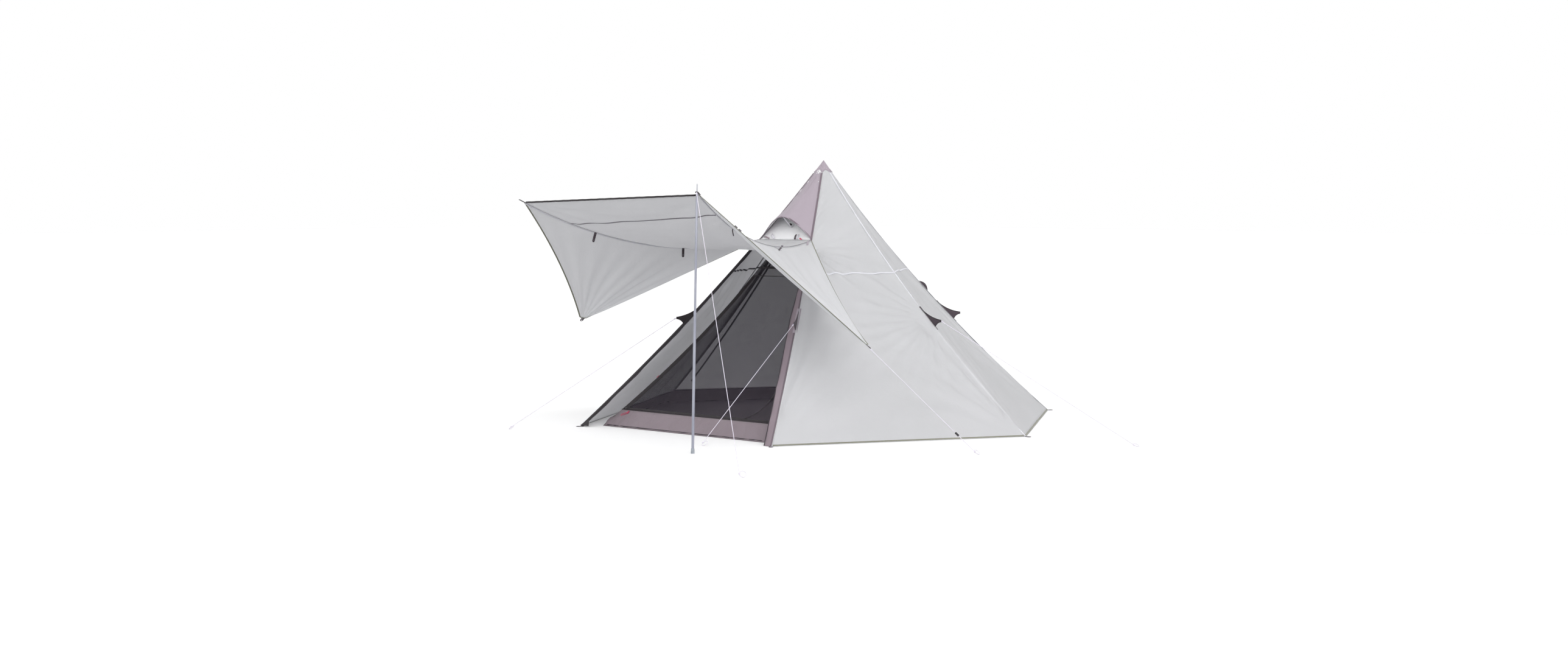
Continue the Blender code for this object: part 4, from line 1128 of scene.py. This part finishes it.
# %% [markdown]
# ## Seams and edges of the awning
# The two long seams are piped: a cord is sewn into them, and it shows as a thin dark line. The free
# edges are bound with a narrow grey-green tape, and the front edge with a black one. Sweeps along the
# sheets' own formulas keep these on them. The seam across the roof is where two widths of cloth join.
# It takes its points from the folded grid, because a straight tape would cut through the creases.

# %% Piping, bindings and the seam across the roof
CROSS_SEAM = {"left": 0.20, "right": 0.16}
CROSS_LIFT, CROSS_TAPE = -0.0024, (0.013, 0.0018)
PIPING, PIPING_LIFT, SEAM_FLAP, FLAP_DROP = (0.0044, 0.0044), 0.0006, (0.0020, 0.0110), 0.006
WING_BINDING = (0.011, 0.0040)
FRONT_BINDING, FRONT_FORWARD, FRONT_WAVER = (0.0130, 0.0120), Vector((0, -0.0056, 0)), 0.0006
for side in DOOR:
    surface, (start, end) = wing(side), seam_ends(side)
    first = seam_span(side)[0]
    line = [seam(side, first + (1 - first - 0.002) * n) + UP * PIPING_LIFT for n in shares(70)]
    across = (end - start).cross(UP).normalized()
    sweep(f"awning_piping_{side}", line, *PIPING, across, seam_tape, square=1.0, on="awning_roof_cloth")
    sweep(f"awning_seam_flap_{side}", line, *SEAM_FLAP, across, fly_tape, lift=UP * -FLAP_DROP,
          on="awning_roof_cloth")
    borders = {
        "front": [(surface(0.0, n), surface(0.06, n)) for n in shares(48)],
        "corner": [(surface(n, 1.0), surface(n, 0.9)) for n in shares(6)],
        "back": [(surface(1.0, n), surface(0.94, n)) for n in shares(48)],
    }
    for border, pairs in borders.items():
        points, ways = [edge for edge, _ in pairs], [inner - edge for edge, inner in pairs]
        sweep(f"awning_wing_{side}_{border}_binding", points, *WING_BINDING, ways, edge_tape,
              on=f"awning_wing_{side}_cloth")

first, last = seam_span("left", ROOF_GAP)
ends = [(share - first) / (last - first) for share in CROSS_SEAM.values()]
cross_line = slanted_row("awning_roof_cloth", *ends, CROSS_LIFT)
behind = slanted_row("awning_roof_cloth", *(end + 0.02 for end in ends), CROSS_LIFT)
cross_ways = [b - a for a, b in zip(cross_line, behind)]
cross_line[0] = cross_line[0].lerp(cross_line[1], 0.1)
cross_line[-1] = cross_line[-1].lerp(cross_line[-2], 0.1)
sweep("awning_roof_seam", cross_line, *CROSS_TAPE, cross_ways, seam_tape, on="awning_roof_cloth")
left, right = roof(0, 0) + FRONT_FORWARD, roof(1, 0) + FRONT_FORWARD
level_front = [left.lerp(right, n) for n in shares(60, 0.012)]
front = [place + UP * FRONT_WAVER * math.sin(i * 1.9) for i, place in enumerate(level_front)]
sweep("awning_front_binding", front, *FRONT_BINDING, UP, black_tape, square=0.8,
      replaced="awning_binding", on="awning_roof_cloth")
sewn_on = [len(facts["trims"]) for name, facts in cutting_list.items() if "awning" in name]
print("bindings on the awning:", sum(sewn_on))

# %% [markdown]
# ## Webbing: loops, tabs and straps
# Loops of woven webbing take the pegs, the pole's spike and the lines, because cloth alone would tear.
# The eye of a loop has to be a real hole, so each one is a plate cut from an outline with a hole in
# it, with rounded rims. Folding a strap over and sewing it would give the same look for more work.

# %% Webbing ends
ROUND_STEPS = 12
STITCH_LIFT = LOOP_THICKNESS / 2 + 0.0002
STITCH_THREAD, ZIGZAGS = (0.0009, 0.0007), 14
PEG_LOOP, PEG_EYE, PEG_INSET, PEG_LIFT = (0.040, 0.030), (0.0075, 0.025), 0.0009, 0.0020


def rounded_strip(length, width):
    """Outline of a strip from the origin along +X, its far end rounded."""
    half = width / 2
    turns = [math.pi * (n - 0.5) for n in shares(ROUND_STEPS)]
    end = [(length - half + half * math.cos(a), half * math.sin(a)) for a in turns]
    return [(0.0, -half), *end, (0.0, half)]


def circle(radius, centre_x):
    turns = [math.tau * n for n in shares(ROUND_STEPS * 2)[:-1]]
    return [(centre_x + radius * math.cos(a), radius * math.sin(a)) for a in turns]


def stitched_box(name, matrix, start, length, width, lift=STITCH_LIFT, body="tent"):
    """A zigzag of thread that holds a webbing end down."""
    ways = [1 if i % 2 else -1 for i in range(ZIGZAGS + 1)]
    places = [(start + length * n, way * width / 2, lift) for n, way in zip(shares(ZIGZAGS), ways)]
    points = [matrix @ Vector(place) for place in places]
    across = matrix.col[2].to_3d().cross(points[2] - points[0])
    sweep(name, points, *STITCH_THREAD, across, pale_webbing, square=1.0, sides=6, slot="cord", body=body)


for corner, azimuth in CORNERS.items():
    away = outward(azimuth)
    matrix = frame_at(away * (FLY_RADIUS - PEG_INSET) + UP * PEG_LIFT, away, UP.cross(away))
    # Black at the front left corner only: painted shade, since that corner lies in shadow
    finish = black_tape if corner == "front_left" else webbing
    outlines = [rounded_strip(*PEG_LOOP), circle(*PEG_EYE)]
    plate(f"peg_loop_{corner}_webbing", outlines, LOOP_THICKNESS, matrix, finish)
    stitched_box(f"peg_loop_{corner}_stitch", matrix, start=0.0015, length=0.012, width=0.018)
for name, eye in EYES.items():
    matrix = corner_frame(name)
    reach = (eye - matrix.translation).length
    outlines = [rounded_strip(reach + LOOP_WIDTH / 2, LOOP_WIDTH), circle(EYE_RADIUS, reach)]
    plate(f"awning_loop_{name}_webbing", outlines, LOOP_THICKNESS, matrix, webbing)
    for place, lift in {"over": STITCH_LIFT, "under": -STITCH_LIFT}.items():
        stitched_box(f"awning_loop_{name}_{place}_stitch", matrix, start=0.004, length=0.018, width=0.018,
                     lift=lift)
print("webbing loops:", len(CORNERS) + len(EYES))

# %% Guy tabs and the small ridge tab
TAB_THICKNESS, TAB_AREA = 0.0025, 0.0130
TAB_START, TIP_HALF, LOW_HOLLOW, TOP_HOLLOW = 0.0015, 0.006, 0.010, 0.014
TAB_BINDING, ROOT_THICKNESS, ROOT_LIFT, ROOT_BEYOND = (0.006, 0.0040), 0.0030, 0.0025, 0.02
RIDGE_TAB_TOP, RIDGE_TAB_LOW, RIDGE_TAB_REACH = 1.085, 1.005, 0.024


def hollow_edge(start, end, hollow):
    """An outline from one corner to another, drawn to the left of the way between them."""
    way = Vector(end) - Vector(start)
    left_way = Vector((-way.y, way.x)).normalized()
    bow = [tuple(Vector(start) + way * n + left_way * (hollow * parabola(n))) for n in shares(12)[1:-1]]
    return [start, *bow, end]


for corner, azimuth in CORNERS.items():
    away = outward(azimuth)
    start = fly_ridge(azimuth, TAB_TOP).dot(away)
    run = fly_ridge(azimuth, TAB_LOW).dot(away) - start
    matrix = frame_at(away * start + UP * TAB_TIP, away, UP)
    outlines = {
        "low": hollow_edge((run + TAB_START, TAB_LOW - TAB_TIP), (TAB_REACH, -TIP_HALF), LOW_HOLLOW),
        "top": hollow_edge((TAB_REACH, TIP_HALF), (TAB_START, TAB_TOP - TAB_TIP), TOP_HOLLOW),
    }
    name = f"guy_tab_{corner}"
    # The front left tab is black: painted shade of a tab seen on its shaded side
    piece = plate(name + "_cloth", [outlines["low"] + outlines["top"]], TAB_THICKNESS, matrix,
                  black_tape if corner == "front_left" else webbing)
    cutting_list[name + "_cloth"] = {
        "piece": piece, "flat": (TAB_REACH - run, TAB_TOP - TAB_LOW), "area": TAB_AREA,
        "held": "stretched", "trims": [],
    }
    for place, outline in outlines.items():
        points = [matrix @ Vector((x, y, 0.0)) for x, y in outline]
        inside = [matrix @ Vector((x * 0.8, 0.0, 0.0)) - point for (x, y), point in zip(outline, points)]
        sweep(f"{name}_{place}_binding", points, *TAB_BINDING, inside, black_tape, on=name + "_cloth")
    foot, rise = TAB_LOW - ROOT_BEYOND, TAB_TOP - TAB_LOW + 2 * ROOT_BEYOND
    root = [fly_ridge(azimuth, foot + rise * n) for n in shares(12)]
    finish, wide = (trim_cloth, 0.034) if corner == "front_right" else (webbing, 0.020)
    sweep(name + "_root", root, wide, ROOT_THICKNESS, UP.cross(away), finish, lift=away * ROOT_LIFT,
          slot="dark_webbing", on=name + "_cloth")

away, top, low = outward(60), fly_ridge(60, RIDGE_TAB_TOP), fly_ridge(60, RIDGE_TAB_LOW)
along, length = (low - top).normalized(), (low - top).length
side = (away - along * away.dot(along)).normalized()
outline = [(length * n, RIDGE_TAB_REACH * parabola(n)) for n in shares(16)]
matrix = frame_at(top + side * TAB_START, along, side)
plate("ridge_tab_webbing", [outline], TAB_THICKNESS, matrix, webbing)
print("guy tabs:", len(CORNERS))

# %% Straps that hang from the left seam
STRAP, STRAP_THICKNESS, STRAP_DROP = (0.075, 0.020), 0.0020, 0.0024
for name, share in {"strap_front": 0.300, "strap_rear": 0.665}.items():
    tangent = (seam("left", share + 0.002) - seam("left", share - 0.002)).normalized()
    down = (-UP - tangent * -tangent.z).normalized()
    matrix = frame_at(seam("left", share) + down * STRAP_DROP, down, tangent)
    plate(f"awning_{name}_webbing", [rounded_strip(*STRAP)], STRAP_THICKNESS, matrix, webbing, body=name)
    for place, start in {"stitch": 0.004, "end_stitch": 0.052}.items():
        stitched_box(f"awning_{name}_{place}", matrix, start, length=0.012, width=0.013, lift=0.0012,
                     body=name)
print("straps: 2")

# %% Ties, toggles and the corner patch
TIES = {
    "hood_tie_left": ((-0.226, -0.444, 1.446), (-0.168, -0.452, 1.433), 0.013, strip_cloth),
    "hood_strap_left": ((-0.166, -0.426, 1.466), (-0.120, -0.449, 1.434), 0.018, pale_webbing),
    "hood_tie_right": ((0.082, -0.414, 1.468), (0.094, -0.446, 1.430), 0.015, webbing),
    "hood_strap_right": ((0.104, -0.414, 1.468), (0.112, -0.444, 1.432), 0.015, pale_webbing),
    "hood_pull_right": ((0.134, -0.436, 1.440), (0.164, -0.446, 1.428), 0.011, zip_red),
    "hood_tail": ((0.286, -0.490, 1.426), (0.322, -0.560, 1.392), 0.016, trim_cloth),
}
TIE_LIFT, TIE_CURL, TIE_THICKNESS, WING_TIE = 0.005, 0.12, 0.0018, (0.013, 0.0020)
top = seam("right", 0.288) - UP * 0.004
TIES["awning_tie_front"] = (top, top + Vector((0.004, 0.006, -0.056)), 0.009, webbing)
for name, (start, end, width, finish) in TIES.items():
    start, end = Vector(start), Vector(end)
    curl = DOOR_NORMAL * ((end - start).length * TIE_CURL)
    points = [start.lerp(end, n) + curl * parabola(n) for n in shares(8)]
    sweep(name, points, width, TIE_THICKNESS, (end - start).cross(DOOR_NORMAL), finish,
          lift=DOOR_NORMAL * TIE_LIFT, slot="zip_red" if finish is zip_red else "dark_webbing")

seam_start, seam_end = seam_ends("right")
face, along_seam = wing("right"), (seam_end - seam_start).normalized()
WING_TIES = {"rear": (0.700, -0.047, webbing), "rear_strap": (0.640, 0.036, pale_webbing)}
for name, (share, drift, finish) in WING_TIES.items():
    lie = [face(share + drift * n, 0.006 + 0.030 * n) for n in shares(10)]
    out = (lie[-1] - lie[0]).cross(along_seam).normalized()
    out = out if out.z > 0 else -out
    lie = [place + out * (0.004 + 0.004 * parabola(n)) for n, place in zip(shares(10), lie)]
    sweep(f"awning_tie_{name}", lie, *WING_TIE, along_seam, finish)
TOGGLES = {
    "front": (face(0.0, 0.215), face(0.0, 0.24)),
    "middle": (face(0.0, 0.238), face(0.0, 0.27)),
    "rear": (seam("right", 0.72), seam("right", 0.74)),
}
BEAD_WIDTHS, BEAD_HEIGHT = {-0.012: 0.005, -0.010: 0.010, 0.0: 0.011, 0.010: 0.010, 0.012: 0.005}, 0.010
for name, (middle, beyond) in TOGGLES.items():
    way = (beyond - middle).normalized()
    bead = [middle + way * x for x in BEAD_WIDTHS]
    sweep(f"awning_toggle_{name}", bead, list(BEAD_WIDTHS.values()), BEAD_HEIGHT, UP, seam_tape,
          lift=UP * 0.008, square=0.8, slot="cord")

PATCH_THICKNESS, PATCH_LIFT = 0.0026, 0.0060
foot = fly_ridge(DOOR_LEFT, 0.004)
ridge_way = (fly_ridge(DOOR_LEFT, 0.10) - foot).normalized()
patch = frame_at(foot + DOOR_NORMAL * PATCH_LIFT, RIGHT, ridge_way)
lean_x, lean_y = (ridge_way.dot(patch.col[axis].to_3d()) for axis in (0, 1))
outline = [(-0.012, 0.002), (0.080, 0.002), (0.062, 0.030)]
outline += [(0.010 + lean_x * 0.072, lean_y * 0.072), (lean_x * 0.066, lean_y * 0.066)]
plate("door_patch_front_left", [outline], PATCH_THICKNESS, patch, black_tape)
print("ties:", len(TIES) + len(WING_TIES), "toggles:", len(TOGGLES))

# %% [markdown]
# ## The inner tent
# Inside hangs a second tent: a waterproof tray with its rim turned up, five walls and a door of fine
# dark net. The net hangs looser than the fly. Real net has about a thousand holes in a hand's width,
# too fine to model, so the net finish opens part of its alpha in a grid and lets the rest through.

# %% Tray
TRAY_HEIGHT, TRAY_LIFT, FLOOR_SHARE = 0.125, 0.0010, 0.86
WRINKLE_DEPTH, RIM_CREASE, RIM_SWELL, RIM_SLANTED = 0.004, 0.0034, 0.009, 0.0115
TRAY_BINDING, TRAY_HEM = (0.012, 0.0030), (0.007, 0.0024)


def tray(s, t):
    """Out from the centre along the floor, then up the sloping rim."""
    height = max(0.0, TRAY_HEIGHT * (t - FLOOR_SHARE) / (1 - FLOOR_SHARE))
    place = all_round(inner_ridge, s, height) * min(1.0, t / FLOOR_SHARE)
    return Vector((place.x, place.y, max(height, TRAY_LIFT)))


def tray_folds(s, t, u, v):
    """Creases down the rim, and soft wrinkles on the floor, whose grid faces down."""
    if t < FLOOR_SHARE:
        return -abs(soft_noise(s * 40, t * 14, 2.0)) * WRINKLE_DEPTH * parabola(t / FLOOR_SHARE)
    rim_share = (t - FLOOR_SHARE) / (1 - FLOOR_SHARE)
    along = s * 6 * 1.8
    crease = math.sin(along * 37 + 2 * math.sin(along * 5)) * RIM_CREASE
    crease += soft_noise(along * 4, t * 9, 4.0) * RIM_SWELL
    near_corner = 1 - parabola((s * 6) % 1.0)
    slanted = math.sin(along * 75 + rim_share * 5.5) * RIM_SLANTED * near_corner**2
    return (crease + slanted) * parabola(min(1.0, rim_share * 1.3))


sheet("inner_tray_cloth", tray, 432, 50, tray_cloth, tray_folds, thickness=0.0014, held="laid",
      flat=(3.93, 3.42), weld=True)
rim = [tray(s, 0.995) for s in shares(216)]
sweep("inner_tray_binding", rim, *TRAY_BINDING, UP, black_tape, on="inner_tray_cloth")
foot = [tray(s, 0.872) + outward(s * 360 - 120) * 0.0016 for s in shares(216)]
sweep("inner_tray_hem", foot, *TRAY_HEM, UP, black_tape, on="inner_tray_cloth")
print("tray", round(cutting_list["inner_tray_cloth"]["area"], 2), "square metres")

# %% Net walls, header, peak and door
WALL_LOW, WALL_TOP = TRAY_HEIGHT + 0.0010, INNER_HEIGHT * (1 - 0.045)
DOOR_TOP = 1.150
INNER_INSETS = (0.00110, 0.00110)
NET_THICKNESS = 0.0008
HEADER_TAPE_HEIGHT, HEADER_TAPE, TAPE_MARGIN = 1.205, (0.018, 0.0020), 0.01
RIDGE_TAPE_WIDTH, RIDGE_TAPE_THICKNESS, SECOND_TAPE = 0.013, 0.0024, (0.016, 0.0020)


def hanging_folds(phase, strength):
    """Slack net: long folds from the top that spread as they fall."""

    def folds(s, t, u, v):
        drape = math.sin(s * 34 + phase + 2 * soft_noise(s * 4, t * 2, phase)) * (1 - t * 0.6)
        slow = soft_noise(u * 2.2, v * 1.6, phase)
        return held_edges(s, t, 0.08) * (drape * strength + slow * strength * 2.2)

    return folds


def net(name, surface, columns, rows, folds, finish=net_cloth, body="tent"):
    """A sheet of net that hangs in the place of the node it is named after."""
    sheet(name + "_net", surface, columns, rows, finish, folds, NET_THICKNESS, "hung", body=body)


for turn, (name, azimuth) in enumerate(WALLS.items()):
    surface = panel(inner_ridge, azimuth, WALL_LOW, WALL_TOP, PANEL_BELLY, INNER_INSETS)
    # The front left wall takes the darker, denser net: painted shade on that wall
    net("inner_" + name, surface, 40, 48, hanging_folds(turn * 1.9, strength=0.0042),
        net_double if name == "front_left" else net_cloth)
header = panel(inner_ridge, DOOR_LEFT, DOOR_TOP + 0.0006, WALL_TOP)
net("inner_door_header", header, 24, 24, hanging_folds(5.0, strength=0.0012))
peak = cap_surface(inner_ridge, INNER_HEIGHT - 0.105, INNER_HEIGHT - 0.022, 0.0062)
sheet("inner_peak_cloth", peak, 48, 8, black_tape, weld=True, flat=(0.240, 0.208))
door = panel(inner_ridge, DOOR_LEFT, WALL_LOW + 0.0006, DOOR_TOP, insets=(0.0012, SEAM_INSET))
net("mesh_door", door, 60, 48, hanging_folds(8.0, strength=0.0030), body="mesh_door")
for corner, azimuth in PLAIN_RIDGES.items():
    ridge_line = [inner_ridge(azimuth, WALL_LOW + (WALL_TOP - WALL_LOW) * n) for n in shares(40)]
    wide = [0.030 + 0.026 * n for n in shares(40)] if corner == "left" else RIDGE_TAPE_WIDTH
    across = UP.cross(outward(azimuth))
    sweep(f"inner_ridge_tape_{corner}", ridge_line, wide, RIDGE_TAPE_THICKNESS, across, black_tape)
heights = [0.20 + 1.05 * n for n in shares(40)]
beside = [inner_ridge(180, height).lerp(inner_ridge(120, height), 0.055) for height in heights]
across = inner_ridge(120, 0.5) - inner_ridge(180, 0.5)
sweep("inner_ridge_second_tape", beside, *SECOND_TAPE, across, black_tape)
left, right = (inner_ridge(azimuth, HEADER_TAPE_HEIGHT) for azimuth in DOOR.values())
header_line = [left.lerp(right, n) for n in shares(40, TAPE_MARGIN)]
sweep("inner_header_tape", header_line, *HEADER_TAPE, door_rise, black_tape, lift=DOOR_NORMAL * 0.003,
      on="inner_door_header_net")
print("inner walls:", len(WALLS))

# %% [markdown]
# ## The net door's zips
# A zip runs up the door's free edge and another along the sill, each a black tape with a coil. The
# tape is widest at the bottom, where the net is gathered. The pieces on the door ride with the door,
# and those on the wall stay, so that the two halves part when the door swings.

# %% Tapes on the door and on the wall beside it
ZIP_TAPE_THICKNESS, DOOR_COIL, WALL_TAPE = 0.0022, (0.005, 0.0030), (0.026, 0.0020)
HINGE_INSET = 0.012


def free_edge(height, inset):
    """A point on the door face beside its free edge."""
    a, b = inner_ridge(DOOR_LEFT, height), inner_ridge(DOOR_RIGHT, height)
    return a + (b - a).normalized() * inset


heights = [WALL_LOW + 0.004 + (DOOR_TOP - WALL_LOW - 0.008) * n for n in shares(60)]
widths = [0.046 - 0.014 * n for n in shares(60)]
free = [free_edge(h, w / 2 + 0.004) for h, w in zip(heights, widths)]
hinge = [inner_ridge(DOOR_RIGHT, h) - RIGHT * HINGE_INSET for h in heights]
sill, head = ([door(n, share) for n in shares(60, TAPE_MARGIN)] for share in (0.006, 0.994))
coil = [free_edge(h, 0.005) for h in heights]
wall_way = inner_ridge(180, 0.5) - inner_ridge(DOOR_LEFT, 0.5)
wall_off = wall_way.normalized() * 0.016 + outward(-150) * 0.0016
wall_tape = [inner_ridge(DOOR_LEFT, h) + wall_off for h in heights]
sweep("mesh_door_zip_tape", free, widths, ZIP_TAPE_THICKNESS, RIGHT, black_tape,
      lift=DOOR_NORMAL * 0.0014, body="mesh_door")
sweep("mesh_door_zip_coil", coil, *DOOR_COIL, RIGHT, zip_teeth, lift=DOOR_NORMAL * 0.0026, square=0.8,
      body="mesh_door")
sweep("inner_wall_zip_tape", wall_tape, *WALL_TAPE, wall_way, black_tape)
DOOR_TAPES = {
    "hinge": (hinge, (0.020, 0.0020), RIGHT, 0.0014),
    "sill": (sill, (0.016, 0.0022), door_rise, 0.0016),
    "head": (head, (0.007, 0.0020), door_rise, 0.0012),
}
for name, (points, size, way, lift) in DOOR_TAPES.items():
    sweep(f"mesh_door_{name}_tape", points, *size, way, black_tape, lift=DOOR_NORMAL * lift,
          body="mesh_door")
print("tapes beside the door's zip:", 2, "round the rest of the door:", len(DOOR_TAPES))

# %% Zip pulls and the gathered corner
PULL_CORD, PULL_LIFT, PULL_NECK = (0.0042, 0.0042), 0.0065, 0.012
GATHER_TAPE = (0.012, 0.0030)
door_down = -door_rise.normalized()
PULLS_OF = {
    "sill": (Vector((-0.90, 0.0, 0.0)) + door_down * 0.42, 0.056, 0.0065, zip_red),
    "side": (door_down, 0.040, 0.0045, guy_cord),
}
for zip_name, (way, reach, spread, finish) in PULLS_OF.items():
    low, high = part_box(f"zip_slider_{zip_name}")
    start = Vector(((low.x + high.x) / 2, (low.y + high.y) / 2, low.z + 0.004))
    # A doubled cord: out, round a half turn, and back
    way = way.normalized()
    side = way.cross(DOOR_NORMAL)
    turns = [math.pi * n for n in shares(10)]
    bend = [way * (reach + math.sin(a) * spread) + side * (math.cos(a) * spread) for a in turns]
    out, back = side * spread + way * PULL_NECK, way * PULL_NECK - side * spread
    route = [side * spread * 0.4, out, *bend, back, side * spread * -0.4]
    points = [start + step for step in route]
    sweep(f"zip_slider_{zip_name}_pull", points, *PULL_CORD, DOOR_NORMAL, finish,
          lift=DOOR_NORMAL * PULL_LIFT, square=1.0, body=f"zip_{zip_name}")
high, bent = Vector((0.575, -1.118, 0.450)), Vector((0.655, -1.330, 0.215))
low = Vector((0.455, -1.415, 0.137))
gather = [high.lerp(bent, n).lerp(bent.lerp(low, n), n) for n in shares(24)]
sweep("mesh_door_gather", gather, *GATHER_TAPE, Vector((1, 0, 0.4)), black_tape, lift=DOOR_NORMAL * 0.004,
      square=1.0, body="mesh_door", on="mesh_door_net")
print("zip pulls:", list(PULLS_OF))

# %% [markdown]
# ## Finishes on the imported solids
# Poles, feet, spike, cup, sliders and tensioner have the right shape already, so they keep their
# solids and only get a better finish than the plain one they were packed with.

# %% Metal and plastic parts
FINISH_OF = {
    pole_metal: ("awning_pole_lower", "awning_pole_upper", "centre_pole_lower", "centre_pole_upper"),
    spike_metal: ("awning_pole_spike",),
    grey_plastic: ("awning_pole_foot",),
    black_plastic: ("centre_pole_foot", "centre_pole_collar", "centre_pole_cup", "line_tensioner"),
    zip_red: ("zip_slider_sill", "zip_slider_side"),
    pale_webbing: ("hood_prop",),
}
for finish, names in FINISH_OF.items():
    for node in (nodes[name] for name in names):
        if not node.material_slots:
            node.data.materials.append(finish)
        for material_slot in node.material_slots:
            material_slot.material = finish
print("finished solids:", sum(len(names) for names in FINISH_OF.values()))

# %% [markdown]
# ## The cutting list
# Every sheet was cut flat before it was sewn and hung. The list gives each one's width, length and
# area, so the tent can be checked as cloth: a sheet that had stretched would show here.

for name, facts in cutting_list.items():
    width, length = (round(x, 4) for x in facts["flat"])
    area = min(round(facts["area"], 5), width * length)
    print(f"{name}: {width:.3f} x {length:.3f} m, {area:.3f} square metres")
